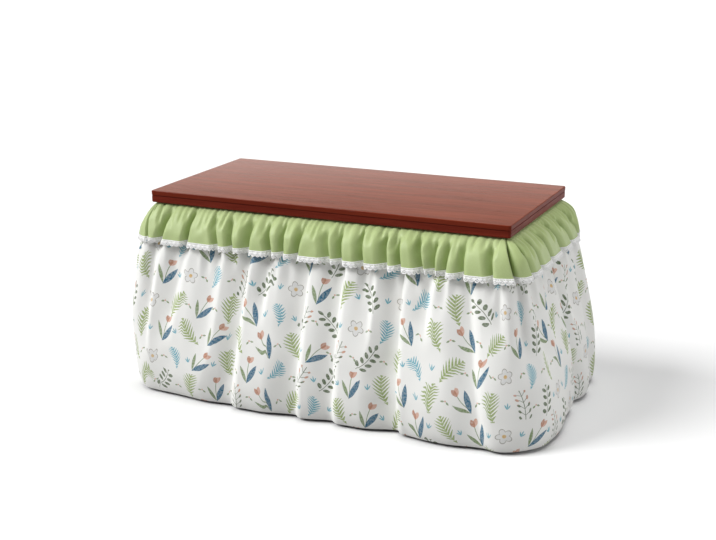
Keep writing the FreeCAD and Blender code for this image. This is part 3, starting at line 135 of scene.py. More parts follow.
def make_light():
    """A soft key light from the front left, with fill from the right, from above and all round."""
    for lamp in LAMPS:
        sun(*lamp)
    world = bpy.data.worlds.new("surround")
    bpy.context.scene.world = world
    world.use_nodes = True
    nodes, links = world.node_tree.nodes, world.node_tree.links
    nodes.clear()
    soft = nodes.new("ShaderNodeBackground")
    soft.inputs["Color"].default_value = (1, 1, 1, 1)
    soft.inputs["Strength"].default_value = SKY_STRENGTH
    white = nodes.new("ShaderNodeBackground")
    white.inputs["Strength"].default_value = 1
    place = nodes.new("ShaderNodeTexCoord")
    split = nodes.new("ShaderNodeSeparateXYZ")
    links.new(place.outputs["Generated"], split.inputs[0])
    ceiling = nodes.new("ShaderNodeValToRGB")
    links.new(split.outputs["Z"], ceiling.inputs["Fac"])
    stops = ceiling.color_ramp.elements
    for height, shade in SURROUND:
        stop = stops[0] if height == 0 else stops.new(height)
        stop.color = (*shade, 1)
    stops.remove(stops[-1])
    tint = nodes.new("ShaderNodeMix")
    tint.data_type = "RGBA"
    tint.inputs[7].default_value = (1, 1, 1, 1)
    links.new(nodes.new("ShaderNodeLightPath").outputs["Is Camera Ray"], tint.inputs["Factor"])
    links.new(ceiling.outputs[0], tint.inputs[6])
    links.new(tint.outputs[2], white.inputs["Color"])
    mix = nodes.new("ShaderNodeMixShader")
    links.new(is_shown(nodes, links), mix.inputs["Fac"])
    links.new(soft.outputs[0], mix.inputs[1])
    links.new(white.outputs[0], mix.inputs[2])
    out = nodes.new("ShaderNodeOutputWorld")
    links.new(mix.outputs[0], out.inputs["Surface"])


FLOOR_REACH = 30
FLOOR_SHOWN = (0.9, 0.9, 0.9)
FLOOR_LIT = (0.42, 0.42, 0.42)


def make_floor():
    """A floor that looks almost white, but throws less light back at the object."""
    mesh = bpy.data.meshes.new("floor")
    corners = [(x * FLOOR_REACH, y * FLOOR_REACH, 0) for x, y in ((-1, -1), (1, -1), (1, 1), (-1, 1))]
    mesh.from_pydata(corners, [], [(0, 1, 2, 3)])
    floor = link(mesh, "floor")
    paint = Paint("floor_paint")
    shown = Term(paint.tree, is_shown(paint.tree.nodes, paint.tree.links))
    paint.shade(Color=paint.mix(shown, FLOOR_LIT, FLOOR_SHOWN), Roughness=1.0, Specular=0.0)
    mesh.materials.append(paint.material)


# ---------------------------------------------------------------- materials


class Term:
    """A number that varies over a surface: an output of a node, with arithmetic."""

    def __init__(self, tree, socket):
        self.tree = tree
        self.socket = socket

    def math(self, operation, *others):
        node = self.tree.nodes.new("ShaderNodeMath")
        node.operation = operation
        for socket, value in zip(node.inputs, others):
            feed(self.tree, socket, value)
        return Term(self.tree, node.outputs[0])

    def __add__(self, other):
        return self.math("ADD", self, other)

    def __sub__(self, other):
        return self.math("SUBTRACT", self, other)

    def __rsub__(self, other):
        return self.math("SUBTRACT", other, self)

    def __mul__(self, other):
        return self.math("MULTIPLY", self, other)

    def __truediv__(self, other):
        return self.math("DIVIDE", self, other)

    __radd__ = __add__
    __rmul__ = __mul__

    def size(self):
        return self.math("ABSOLUTE", self)

    def floor(self):
        return self.math("FLOOR", self)

    def part(self):
        return self.math("FRACT", self)

    def root(self):
        return self.math("SQRT", self)

    def sine(self):
        return self.math("SINE", self)

    def cosine(self):
        return self.math("COSINE", self)

    def under(self, other):
        return self.math("LESS_THAN", self, other)

    def over(self, other):
        return self.math("GREATER_THAN", self, other)

    def most(self, other):
        return self.math("MAXIMUM", self, other)

    def ramp(self, low, high, start=0.0, end=1.0):
        """Runs smoothly from start at low to end at high."""
        node = self.tree.nodes.new("ShaderNodeMapRange")
        node.interpolation_type = "SMOOTHSTEP"
        feed(self.tree, node.inputs["Value"], self)
        for name, value in (("From Min", low), ("From Max", high), ("To Min", start), ("To Max", end)):
            node.inputs[name].default_value = value
        return Term(self.tree, node.outputs[0])


def feed(tree, socket, value):
    """Links a term to a socket, or sets the socket to a plain number or colour."""
    if isinstance(value, Term):
        tree.links.new(value.socket, socket)
    elif isinstance(value, tuple) and socket.type == "RGBA":
        socket.default_value = (*value[:3], 1)
    else:
        socket.default_value = value


def colour(red, green, blue):
    """A colour from the 0 to 255 values that a screen shows."""
    shares = (c / 255 for c in (red, green, blue))
    return tuple(c / 12.92 if c <= 0.04045 else ((c + 0.055) / 1.055) ** 2.4 for c in shares)


class Paint:
    """A material and the nodes that it is built from."""

    SOCKETS = {
        "Color": "Base Color",
        "Specular": "Specular IOR Level",
        "Coat": "Coat Weight",
        "CoatRoughness": "Coat Roughness",
        "Sheen": "Sheen Weight",
        "SheenRoughness": "Sheen Roughness",
        "Transmission": "Transmission Weight",
    }

    def __init__(self, name):
        self.material = bpy.data.materials.new(name)
        self.material.use_nodes = True
        self.tree = self.material.node_tree
        self.tree.nodes.clear()
        self.surface = self.tree.nodes.new("ShaderNodeBsdfPrincipled")
        out = self.tree.nodes.new("ShaderNodeOutputMaterial")
        self.tree.links.new(self.surface.outputs[0], out.inputs["Surface"])

    def shade(self, **values):
        for name, value in values.items():
            feed(self.tree, self.surface.inputs[self.SOCKETS.get(name, name)], value)
        return self

    def place(self, kind="Object"):
        """The place on the object, or its UV, as three terms."""
        source = self.tree.nodes.new("ShaderNodeTexCoord")
        split = self.tree.nodes.new("ShaderNodeSeparateXYZ")
        self.tree.links.new(source.outputs[kind], split.inputs[0])
        return [Term(self.tree, socket) for socket in split.outputs]

    def vector(self, x, y, z=0.0):
        node = self.tree.nodes.new("ShaderNodeCombineXYZ")
        for socket, value in zip(node.inputs, (x, y, z)):
            feed(self.tree, socket, value)
        return Term(self.tree, node.outputs[0])

    def stretched(self, scale_x, scale_y, scale_z):
        x, y, z = self.place()
        return self.vector(x * scale_x, y * scale_y, z * scale_z)

    def noise(self, where, scale, detail, rough=0.5, twist=0.0):
        node = self.tree.nodes.new("ShaderNodeTexNoise")
        self.tree.links.new(where.socket, node.inputs["Vector"])
        node.inputs["Scale"].default_value = scale
        node.inputs["Detail"].default_value = detail
        node.inputs["Roughness"].default_value = rough
        node.inputs["Distortion"].default_value = twist
        return Term(self.tree, node.outputs["Fac"])

    def random(self, where):
        """Three numbers from 0 to 1 that differ from cell to cell."""
        node = self.tree.nodes.new("ShaderNodeTexWhiteNoise")
        self.tree.links.new(where.socket, node.inputs["Vector"])
        split = self.tree.nodes.new("ShaderNodeSeparateXYZ")
        self.tree.links.new(node.outputs["Color"], split.inputs[0])
        return [Term(self.tree, socket) for socket in split.outputs]

    def mix(self, share, first, second):
        node = self.tree.nodes.new("ShaderNodeMix")
        node.data_type = "RGBA"
        feed(self.tree, node.inputs["Factor"], share)
        feed(self.tree, node.inputs[6], first)
        feed(self.tree, node.inputs[7], second)
        return Term(self.tree, node.outputs[2])

    def bump(self, height, distance, strength):
        node = self.tree.nodes.new("ShaderNodeBump")
        node.inputs["Strength"].default_value = strength
        node.inputs["Distance"].default_value = distance
        feed(self.tree, node.inputs["Height"], height)
        self.tree.links.new(node.outputs[0], self.surface.inputs["Normal"])
        return self


def grain(across, along, axis):
    """How densely a pattern repeats on each axis, which is less along the grain."""
    return [along if name == axis else across for name in "xyz"]


def wood(name, dark, light, along, roughness, gloss):
    """Wood whose grain runs along one axis, under varnish or lacquer."""
    paint = Paint(name)
    figure = paint.noise(paint.stretched(*grain(26.0, 1.6, along)), 1.0, 5.0, 0.6, 0.8)
    pores = paint.noise(paint.stretched(*grain(420.0, 9.0, along)), 1.0, 2.0, 0.6)
    tone = figure.ramp(0.34, 0.68) * 0.75 + pores.ramp(0.42, 0.6) * 0.25
    paint.shade(Color=paint.mix(tone, light, dark), Specular=gloss)
    paint.shade(Roughness=pores.ramp(0.3, 0.7, roughness, roughness * 1.35))
    return paint.bump(pores, 0.00015, 0.35)


RED_DARK, RED_LIGHT = colour(108, 36, 16), colour(142, 58, 32)
# A darker red for the lacquered wood's edges and side faces: painted shade, where less light falls.
EDGE_PAINTED_SHADE = (colour(92, 28, 16), colour(118, 42, 28))
BROWN_DARK, BROWN_LIGHT = colour(112, 68, 40), colour(166, 112, 70)
PINE_DARK, PINE_LIGHT = colour(168, 128, 84), colour(206, 172, 126)


def lacquer():
    """Red-brown wood under clear lacquer, polished on top and satin on the edges, where a darker red is
    painted shade.
    """
    paint = wood("lacquer_along_x", RED_DARK, RED_LIGHT, "x", 0.32, 0.06)
    facing = paint.tree.nodes.new("ShaderNodeNewGeometry")
    split = paint.tree.nodes.new("ShaderNodeSeparateXYZ")
    paint.tree.links.new(facing.outputs["True Normal"], split.inputs[0])
    upward = Term(paint.tree, split.outputs["Z"]).ramp(0.5, 0.9)
    face = Term(paint.tree, paint.surface.inputs["Base Color"].links[0].from_socket)
    # Painted shade: faces that don't face up are mixed towards the darker edge red.
    tone = paint.mix(upward * 0.6 + 0.4, EDGE_PAINTED_SHADE[0], face)
    return paint.shade(Color=tone, Coat=upward, CoatRoughness=0.07)


def metal(name, tint, roughness, along="x"):
    """Sheet or bar with a faint brushed grain and uneven dullness."""
    paint = Paint(name)
    brushed = paint.noise(paint.stretched(*grain(900.0, 20.0, along)), 1.0, 2.0)
    cloud = paint.noise(paint.stretched(30, 30, 30), 1.0, 4.0)
    dull = tuple(c * 0.78 for c in tint)
    paint.shade(Color=paint.mix(cloud.ramp(0.35, 0.7), tint, dull), Metallic=1.0)
    paint.shade(Roughness=(brushed * 0.4 + cloud * 0.6).ramp(0.3, 0.7, roughness * 0.75, roughness * 1.3))
    return paint.bump(brushed, 0.00004, 0.4)


def moulded(name, tint, roughness, pebble=0.00006):
    """Plastic, rubber, enamel or ceramic: a speckled surface with uneven gloss."""
    paint = Paint(name)
    speckle = paint.noise(paint.stretched(1400, 1400, 1400), 1.0, 1.0)
    cloud = paint.noise(paint.stretched(24, 24, 24), 1.0, 4.0)
    worn = tuple(min(1.0, c * 1.25 + 0.004) for c in tint)
    paint.shade(Color=paint.mix(cloud.ramp(0.45, 0.8), tint, worn))
    paint.shade(Roughness=cloud.ramp(0.3, 0.7, roughness * 0.85, roughness * 1.2))
    return paint.bump(speckle, pebble, 0.5)


def weave(u, v, pitch):
    """Height of a plain weave with threads pitch apart."""
    turns = FULL_TURN / pitch
    return (u * turns).sine().size() * 0.5 + (v * turns).sine().size() * 0.5


OFF_WHITE = colour(242, 242, 239)
LEAF_GREEN = colour(148, 168, 96)
OLIVE = colour(88, 106, 72)
SAGE = colour(128, 148, 104)
TEAL = colour(44, 104, 134)
SKY = colour(98, 172, 190)
CORAL = colour(216, 170, 150)
RUST = colour(190, 138, 114)
OCHRE = colour(214, 178, 112)
TWIG = colour(134, 126, 112)
MIST = colour(196, 196, 200)


def turned(x, y, angle):
    """x, y seen by one who has turned by a constant angle, in degrees."""
    cosine, sine = math.cos(math.radians(angle)), math.sin(math.radians(angle))
    return x * cosine + y * sine, y * cosine - x * sine


def leaf(x, y, root_x, root_y, angle, length, width):
    """Cover of a pointed leaf that grows from a root at an angle; all in millimetres and degrees."""
    along, across = turned(x - root_x, y - root_y, angle)
    share = along / length
    return ((share - share * share) * (2.0 * width) - across.size()).ramp(-0.3, 0.5)


def frond(x, y, ink, tint=LEAF_GREEN, bow=0.006):
    """A fern's frond: slanted leaflets either side of a bent rib."""
    bent = x - y * y * bow
    side = bent.size()
    root = y - side * 0.8
    reach = (1.0 - (root / 36.0) * (root / 36.0)) * 22.0
    share = side / reach.most(0.5)
    comb = (((root + 60.0) / 8.0).part() - 0.5).size() * 8.0
    blade = ((1.0 - share * share) * 2.9 - comb).ramp(-0.4, 0.5) * side.under(reach)
    rib = (0.7 - side).ramp(-0.4, 0.4) * y.size().under(35.0)
    ink(blade.most(rib), tint)


def sprig(x, y, ink):
    """Round leaves in pairs on an upright stem."""
    bent = x + y * y * 0.005
    side = bent.size()
    step = (((y + 30.0) / 15.0).part() - 0.5) * 15.0
    along, across = turned(side - 9.5, step, 32)
    inside = 1.0 - (along / 7.4) * (along / 7.4) - (across / 4.0) * (across / 4.0)
    leaves = inside.ramp(-0.12, 0.2) * y.size().under(30.0)
    stem = (0.7 - side).ramp(-0.4, 0.4) * y.size().under(34.0)
    tip = leaf(bent, y, 0.0, 28.0, 90, 15.0, 8.0)
    ink(leaves.most(stem).most(tip), OLIVE)


def tulip(x, y, ink):
    """A bud on a stem between two long blades."""
    bent = x - y * y * 0.004
    stem = (0.8 - bent.size()).ramp(-0.4, 0.4) * y.size().under(26.0)
    ink(stem.most(leaf(x, y, 0.0, -32.0, 118, 44.0, 8.5)), SAGE)
    ink(leaf(x, y, 0.0, -34.0, 68, 56.0, 13.0), TEAL)
    ink(leaf(bent, y, 0.0, 16.0, 72, 21.0, 11.0), CORAL)
    ink(leaf(bent, y, 0.0, 16.0, 108, 20.0, 10.0), RUST)


def plume(x, y, ink):
    """A small blue frond, bent the other way."""
    frond(1.3 * x, 1.3 * y, ink, SKY, -0.008)


def daisy(x, y, ink):
    """An open bloom with five outlined petals."""
    away = (x * x + y * y).root()
    bearing = x.math("ARCTAN2", y, x)
    petal = ((bearing * 2.5).cosine().size() * 0.42 + 0.6) * 17.0
    ink((petal - away).ramp(-0.5, 0.5) * 0.35, MIST)
    ink((1.0 - (petal - away).size()).ramp(-0.4, 0.5) * 0.8, TWIG)
    ink((4.2 - away).ramp(-0.5, 0.5), OCHRE)


def berries(x, y, ink):
    """A branch with small leaves below and berries at the ends of its upper twigs."""
    bent = x + y * y * 0.004
    side = bent.size()
    step = (((y - side * 0.9 + 45.0) / 14.0).part() - 0.5) * 14.0
    limit = y.size().under(30.0)
    twig = (0.7 - step.size()).ramp(-0.4, 0.4) * side.under(11.0) * limit
    stem = (0.8 - side).ramp(-0.4, 0.4) * y.size().under(33.0)
    away = ((side - 12.5) * (side - 12.5) + step * step).root()
    ink(twig.most(stem), OLIVE)
    ends = (3.4 - away).ramp(-0.4, 0.5) * limit
    ink(ends, OLIVE)
    ink(ends * y.over(4.0), CORAL)


PRINT_CELL = (0.096, 0.090)  # width and height
LEAN_RANGE = 1.5  # range of the plants' lean, in radians


def make_print(paint, u, v):
    """Scattered plants: one to a cell of a brick pattern, leaning and moved at random; small ones between.

    A motif draws in millimetres, magnified by size, and jitter is how far it may stray.
    """
    shown = [OFF_WHITE]
    wash = paint.noise(paint.vector(u, v), 160.0, 2.0).ramp(0.3, 0.7, 0.72, 1.0)

    def scatter(shift, jitter, seed, size, motifs):
        width, height = PRINT_CELL
        across, down = u / width, v / height
        row = down.floor()
        across = across + row * 0.5 + shift
        column = across.floor()
        lot = paint.random(paint.vector(column, row, seed))
        x = (across.part() - 0.5) * (width / MM / size) + (lot[0] - 0.5) * jitter
        y = (0.5 - down.part()) * (height / MM / size) + (lot[1] - 0.5) * jitter
        angle = (lot[2] - 0.5) * LEAN_RANGE
        cosine, sine = angle.cosine(), angle.sine()
        x, y = x * cosine + y * sine, y * cosine - x * sine
        count = len(motifs)
        kind = ((column * 2.0 + row * 3.0 + (lot[0] * 2.0).floor()) / count).part() * count
        for index, motif in enumerate(motifs):
            chosen = (kind - index).size().under(0.5) * wash

            def ink(cover, tint, chosen=chosen):
                shown[0] = paint.mix(cover * chosen, shown[0], tint)

            motif(x, y, ink)

    scatter(0.0, 8.0, 3.0, 1.36, (frond, berries, tulip, sprig, frond, daisy, tulip, plume))

    def dots(x, y, ink):
        ink((2.4 - (x * x + y * y).root()).ramp(-0.4, 0.5), CORAL)
        ink(leaf(x, y, 2.0, -1.0, -30, 11.0, 5.0).most(leaf(x, y, -2.0, -1.0, 205, 11.0, 5.0)), SAGE)

    def tuft(x, y, ink):
        blades = leaf(x, y, 0.0, -7.0, 60, 15.0, 3.6).most(leaf(x, y, 0.0, -7.0, 92, 18.0, 3.6))
        ink(blades.most(leaf(x, y, 0.0, -7.0, 124, 15.0, 3.6)), SKY)

    scatter(0.5, 4.0, 8.0, 1.15, (dots, tuft))
    return shown[0]


INNER_V = 10.0  # added to v on the inner face of the cloth, so that paint can tell the faces apart
SHOWS_THROUGH = 0.4  # how strongly the print shows on the inner face


def skirt_paint():
    """White cotton with a print that shows paler inside."""
    paint = Paint("skirt_print")
    u, v, _ = paint.place("UV")
    inner = v.over(INNER_V / 2)
    v = v - inner * INNER_V
    threads = weave(u, v, 0.0011)
    slub = paint.noise(paint.vector(u * 300.0, v * 900.0), 1.0, 2.0)
    shown = paint.mix(inner * (1 - SHOWS_THROUGH), make_print(paint, u, v), OFF_WHITE)
    paint.shade(Color=shown, Roughness=0.85, Specular=0.2, Sheen=0.12, SheenRoughness=0.5)
    return paint.bump(threads * 0.6 + slub * 0.4, 0.00012, 0.5)


def frill_paint():
    """Plain green cotton with a soft lustre."""
    paint = Paint("frill_green")
    u, v, _ = paint.place("UV")
    threads = weave(u, v, 0.0009)
    slub = paint.noise(paint.vector(u * 260.0, v * 1400.0), 1.0, 3.0)
    cloud = paint.noise(paint.vector(u * 5.0, v * 5.0), 1.0, 3.0)
    shade = cloud.ramp(0.3, 0.7) * 0.5 + slub.ramp(0.35, 0.65) * 0.5
    paint.shade(Color=paint.mix(shade, colour(184, 200, 144), colour(166, 184, 122)))
    paint.shade(Roughness=0.5, Specular=0.45, Sheen=0.2, SheenRoughness=0.35)
    return paint.bump(threads * 0.5 + slub * 0.5, 0.00010, 0.5)


def lace_paint():
    paint = Paint("lace_white")
    thread = paint.noise(paint.stretched(900.0, 900.0, 900.0), 1.0, 2.0)
    cream = paint.mix(thread.ramp(0.35, 0.65), colour(252, 252, 252), colour(240, 240, 238))
    paint.shade(Color=cream, Roughness=0.8, Specular=0.2, Sheen=0.2)
    return paint.bump(thread, 0.0003, 0.6)


def elastic_paint():
    """Woven tape with ribs along it, with painted shade in the grooves between the ribs."""
    paint = Paint("elastic_woven")
    u, v, _ = paint.place("UV")
    ribs = (v * (FULL_TURN / 0.0032)).sine() * 0.5 + 0.5
    # Painted shade: the tape is darker where the ribs dip.
    cream = paint.mix(ribs, colour(222, 222, 216), colour(240, 240, 236))
    paint.shade(Color=cream, Roughness=0.8, Specular=0.2)
    return paint.bump(ribs * 0.7 + weave(u, v, 0.0012) * 0.3, 0.0004, 0.6)


QUARTZ_IOR = 1.46


def coloured_glass(name, tint, roughness, clearness):
    """Clear or tinted glass with faint streaks."""
    paint = Paint(name)
    streak = paint.noise(paint.stretched(4, 90, 90), 1.0, 3.0)
    paint.shade(Color=tint, Transmission=clearness, IOR=QUARTZ_IOR)
    paint.shade(Roughness=streak.ramp(0.3, 0.7, roughness, roughness * 2 + 0.02))
    return paint.bump(streak, 0.0001, 0.2)


SLOT_PAINTS = {
    "lacquer": lacquer,
    "plain_wood": lambda: wood("bare_pine", PINE_DARK, PINE_LIGHT, "y", 0.6, 0.3),
    "rubber": lambda: moulded("black_rubber", colour(34, 34, 34), 0.8),
    "frame_wood": lambda: wood("varnished_along_z", BROWN_DARK, BROWN_LIGHT, "z", 0.38, 0.4),
    "zinc_steel": lambda: metal("zinc_steel", colour(196, 198, 196), 0.36),
    "foot_plastic": lambda: moulded("foot_plastic", colour(40, 37, 35), 0.5),
    "heater_enamel": lambda: moulded("heater_enamel", colour(214, 212, 204), 0.3, 0.00004),
    "bright_sheet": lambda: metal("bright_sheet", colour(232, 232, 234), 0.14),
    "quartz": lambda: coloured_glass("quartz_glass", colour(240, 232, 228), 0.03, 0.92),
    "element_metal": lambda: metal("element_metal", colour(150, 108, 84), 0.5),
    "ceramic": lambda: moulded("glazed_ceramic", colour(236, 232, 222), 0.2, 0.00003),
    "guard_wire": lambda: moulded("guard_paint", colour(52, 52, 52), 0.42),
    "motor_steel": lambda: metal("motor_steel", colour(176, 176, 180), 0.3, "z"),
    "black_plastic": lambda: moulded("black_plastic", colour(32, 32, 34), 0.45),
    "switch_plastic": lambda: moulded("switch_plastic", colour(36, 36, 38), 0.2, 0.00002),
    "amber_lens": lambda: coloured_glass("amber_lens", colour(238, 150, 40), 0.05, 0.8),
    "skirt_cloth": skirt_paint,
    "frill_cloth": frill_paint,
    "lace": lace_paint,
    "elastic": elastic_paint,
}

# Pieces whose grain runs along the table or across it; the others have it as their slot's paint says.
LENGTHWISE = ("top_edge_front", "top_edge_back", "rail_front", "rail_back")
LENGTHWISE += tuple(f"foot_slat_{number}" for number in (1, 2, 3, 4))
CROSSWISE = ("top_edge_left", "top_edge_right", "rail_left", "rail_right")
CROSSWISE += ("heater_rail_left", "heater_rail_right", "lower_rail_left", "lower_rail_right")
GRAIN_ALONG = {**dict.fromkeys(LENGTHWISE, "x"), **dict.fromkeys(CROSSWISE, "y")}


def dress_nodes():
    """Gives every node of the frame the material of its slot, with the grain along the piece."""
    paints = {slot: make().material for slot, make in SLOT_PAINTS.items()}
    turned_grain = {
        # The lacquered edge pieces are coloured in the darker edge red: painted shade.
        ("lacquer", "x"): wood("lacquer_edge_painted_shade_along_x", *EDGE_PAINTED_SHADE, "x", 0.34, 0.06).material,
        ("lacquer", "y"): wood("lacquer_edge_painted_shade_along_y", *EDGE_PAINTED_SHADE, "y", 0.34, 0.06).material,
        ("frame_wood", "x"): wood("varnished_along_x", BROWN_DARK, BROWN_LIGHT, "x", 0.38, 0.4).material,
        ("frame_wood", "y"): wood("varnished_along_y", BROWN_DARK, BROWN_LIGHT, "y", 0.38, 0.4).material,
    }
    for part in frame["record"]["subparts"]:
        name, slot = part["node"], part["material_slot"]
        paint = turned_grain.get((slot, GRAIN_ALONG.get(name)), paints[slot])
        mesh = frame["nodes"][name].data
        mesh.materials.clear()
        mesh.materials.append(paint)
    return paints


# ---------------------------------------------------------------- the cover's plan and drape

leg_low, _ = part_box("leg_front_left")
REACH_X, REACH_Y = -leg_low.x, -leg_low.y
CORNER = 0.2  # way round a corner, counted in t

# The plan of the legs' faces at its knots, where straight sides and corners meet: t, place and facing.
RUNS = [CORNER / 2, 2 * REACH_X, CORNER, 2 * REACH_Y, CORNER, 2 * REACH_X, CORNER, 2 * REACH_Y, CORNER / 2]
KNOTS = np.concatenate([[0], np.cumsum(RUNS)])
AROUND = KNOTS[-1]
PLAN_X = REACH_X * np.array([-1, -1, 1, 1, 1, 1, -1, -1, -1, -1])
PLAN_Y = REACH_Y * np.array([-1, -1, -1, -1, 1, 1, 1, 1, -1, -1])
PLAN_FACING = np.radians([225, 270, 270, 360, 360, 450, 450, 540, 540, 585])

# Where each panel of the cover starts and ends, from corner to corner.
PANELS = {
    "front": (0.0, CORNER + 2 * REACH_X),
    "right": (CORNER + 2 * REACH_X, 2 * CORNER + 2 * REACH_X + 2 * REACH_Y),
    "back": (AROUND / 2, AROUND / 2 + CORNER + 2 * REACH_X),
    "left": (AROUND / 2 + CORNER + 2 * REACH_X, AROUND),
}


def wrapped(way):
    """A difference of two ways round, taken the short way."""
    return (way + AROUND / 2) % AROUND - AROUND / 2


def eased(low, high, value):
    """0 at low and 1 at high, with a smooth way between; low may be the greater."""
    share = np.clip((value - low) / (high - low), 0, 1)
    return share * share * (3 - 2 * share)


def curve(points, value):
    """A smooth line through points, read at value; points are (place, number) from low to high."""
    places, numbers = np.array(points, float).T
    slopes = np.gradient(numbers, places)
    index = np.clip(np.searchsorted(places, value) - 1, 0, len(places) - 2)
    step = places[index + 1] - places[index]
    share = np.clip((value - places[index]) / step, 0, 1)
    one, two = share**2 * (3 - 2 * share), share * (1 - share)
    first, second = numbers[index], numbers[index + 1]
    ends = slopes[index] * (1 - share) * two * step - slopes[index + 1] * share * two * step
    return first + (second - first) * one + ends


def spots(t, out, slip, height):
    """Points of the cover: out is the distance outside the legs' faces, slip a shift along the cloth."""
    way = np.mod(t, AROUND)
    facing = np.interp(way, KNOTS, PLAN_FACING)
    cosine, sine = np.cos(facing), np.sin(facing)
    x = np.interp(way, KNOTS, PLAN_X) + out * cosine - slip * sine
    y = np.interp(way, KNOTS, PLAN_Y) + out * sine + slip * cosine
    return np.stack(np.broadcast_arrays(x, y, height), axis=-1)


def ripple(t, height, cell_t, cell_z, seed):
    """Smooth random relief from -1 to 1 that closes on itself round the table."""
    columns = max(4, int(round(AROUND / cell_t)))
    rows = int(math.ceil(1 / cell_z)) + 3
    grid = np.random.default_rng(seed).uniform(-1, 1, (rows, columns))
    across, down = np.broadcast_arrays(np.mod(t, AROUND) / AROUND * columns, height / cell_z + 1)
    i, j = np.floor(down).astype(int), np.floor(across).astype(int)
    a, b = down - i, across - j
    a, b = a * a * (3 - 2 * a), b * b * (3 - 2 * b)
    near, far = j % columns, (j + 1) % columns
    low = grid[i, near] * (1 - b) + grid[i, far] * b
    high = grid[i + 1, near] * (1 - b) + grid[i + 1, far] * b
    return low * (1 - a) + high * a


# A fold's valley: where it starts at the header and ends at the hem in t, the heights between which it shows,
# its depth, and how wide its flank is before and after it.
Fold = namedtuple("Fold", "header hem low high depth before after")

HEADER = 0.617
HEM = 0.010
TO_HEM = 0.0
PATH_BEND = 0.8  # below 1, a valley bends most near the hem


def valleys(t, height, folds, opening, power=3.0):
    """Depth of all folds together, and how far their far flanks lean over them.

    The folds widen by opening towards the hem, and power says how far the deeper of two neighbours wins.
    """
    share = np.clip((height - HEM) / (HEADER - HEM), 0, 1)
    depth, slip = 0, 0
    for fold in folds:
        path = fold.hem + (fold.header - fold.hem) * share**PATH_BEND
        away = wrapped(t - path)
        spread = 1 + opening * (1 - share)
        flank = np.minimum(np.hypot(away / (np.where(away < 0, fold.before, fold.after) * spread), 0.06), 1)
        shape = 0.3 * (1 - flank) + 0.35 * (1 + np.cos(flank * math.pi))
        fade = 0.3 * (fold.high - fold.low)
        shown = 1 - eased(fold.high - fade, fold.high, height)
        if fold.low > TO_HEM:
            shown = shown * eased(fold.low, fold.low + fade, height)
        depth = depth + (fold.depth * shown * shape) ** power
        crest = np.exp(-((away / (fold.after * spread) - 0.7) * 2.2) ** 2)
        slip = slip - 0.25 * fold.depth * shown * crest
    return depth ** (1 / power), slip


def scattered_folds(seed, start, end, spacing, depth, low, high, before, after, slant):
    """Folds at uneven distances from start to end; low is one lower end or several to choose from."""
    random = np.random.default_rng(seed)
    folds, t = [], start
    while t < end:
        lean = random.normal(0, slant)
        bottom = low if np.isscalar(low) else random.choice(low)
        size = depth * random.uniform(0.6, 1.25)
        reach = random.uniform(0.75, 1.3)
        folds.append(Fold(t, t + lean, bottom, high, size, before * reach, after * reach))
        t += spacing * random.uniform(0.65, 1.35)
    return folds


def thinned(folds):
    """Leaves out two in three of the small folds at the corners, where the way round is short."""
    middles = KNOTS[2:-1:2] + CORNER / 2
    at_corner = [abs(wrapped(fold.header - middles)).min() < CORNER / 2 for fold in folds]
    return [fold for i, fold in enumerate(folds) if not at_corner[i] or i % 3 == 0]


# The skirt's outline at front, left and right: height over the floor and distance outside the legs' faces.
SKIRT_FRONT = [
    (0.0, 0.122), (0.02, 0.132), (0.06, 0.143), (0.11, 0.146), (0.2, 0.139), (0.3, 0.124), (0.4, 0.104),
    (0.48, 0.086), (0.53, 0.068), (0.565, 0.045), (0.59, 0.024), (0.608, 0.012), (0.617, 0.010),
]  # fmt: skip
SKIRT_LEFT = [
    (0.0, 0.084), (0.02, 0.093), (0.06, 0.104), (0.12, 0.112), (0.2, 0.118), (0.27, 0.116), (0.38, 0.099),
    (0.48, 0.080), (0.53, 0.062), (0.565, 0.042), (0.59, 0.023), (0.608, 0.012), (0.617, 0.010),
]  # fmt: skip
SKIRT_RIGHT = [
    (0.0, 0.150), (0.02, 0.159), (0.05, 0.163), (0.11, 0.160), (0.2, 0.150), (0.3, 0.130), (0.4, 0.106),
    (0.48, 0.086), (0.53, 0.068), (0.565, 0.045), (0.59, 0.024), (0.608, 0.012), (0.617, 0.010),
]  # fmt: skip

# How much the left and right outlines count round the table, at t. The front outline takes the rest.
BLEND = [
    (0.0, 1.0, 0.0),
    (0.18, 0.6, 0.0),
    (0.36, 0.0, 0.0),
    (1.1, 0.0, 0.1),
    (1.3, 0.0, 0.75),
    (1.5, 0.0, 1.0),
    (2.0, 0.0, 0.9),
    (2.3, 0.0, 0.2),
    (3.1, 0.0, 0.0),
    (3.3, 0.0, 0.75),
    (3.5, 0.0, 1.0),
    (3.82, 0.0, 0.95),
    (3.98, 0.5, 0.4),
    (4.08, 0.9, 0.05),
    (AROUND, 1.0, 0.0),
]


def outline(t, height, front, left, right):
    """Distance outside the legs' faces, blended from the three outlines."""
    way = np.mod(t, AROUND)
    ways, to_left, to_right = np.array(BLEND).T
    to_left, to_right = np.interp(way, ways, to_left), np.interp(way, ways, to_right)
    middle = curve(front, height)
    return middle + to_left * (curve(left, height) - middle) + to_right * (curve(right, height) - middle)


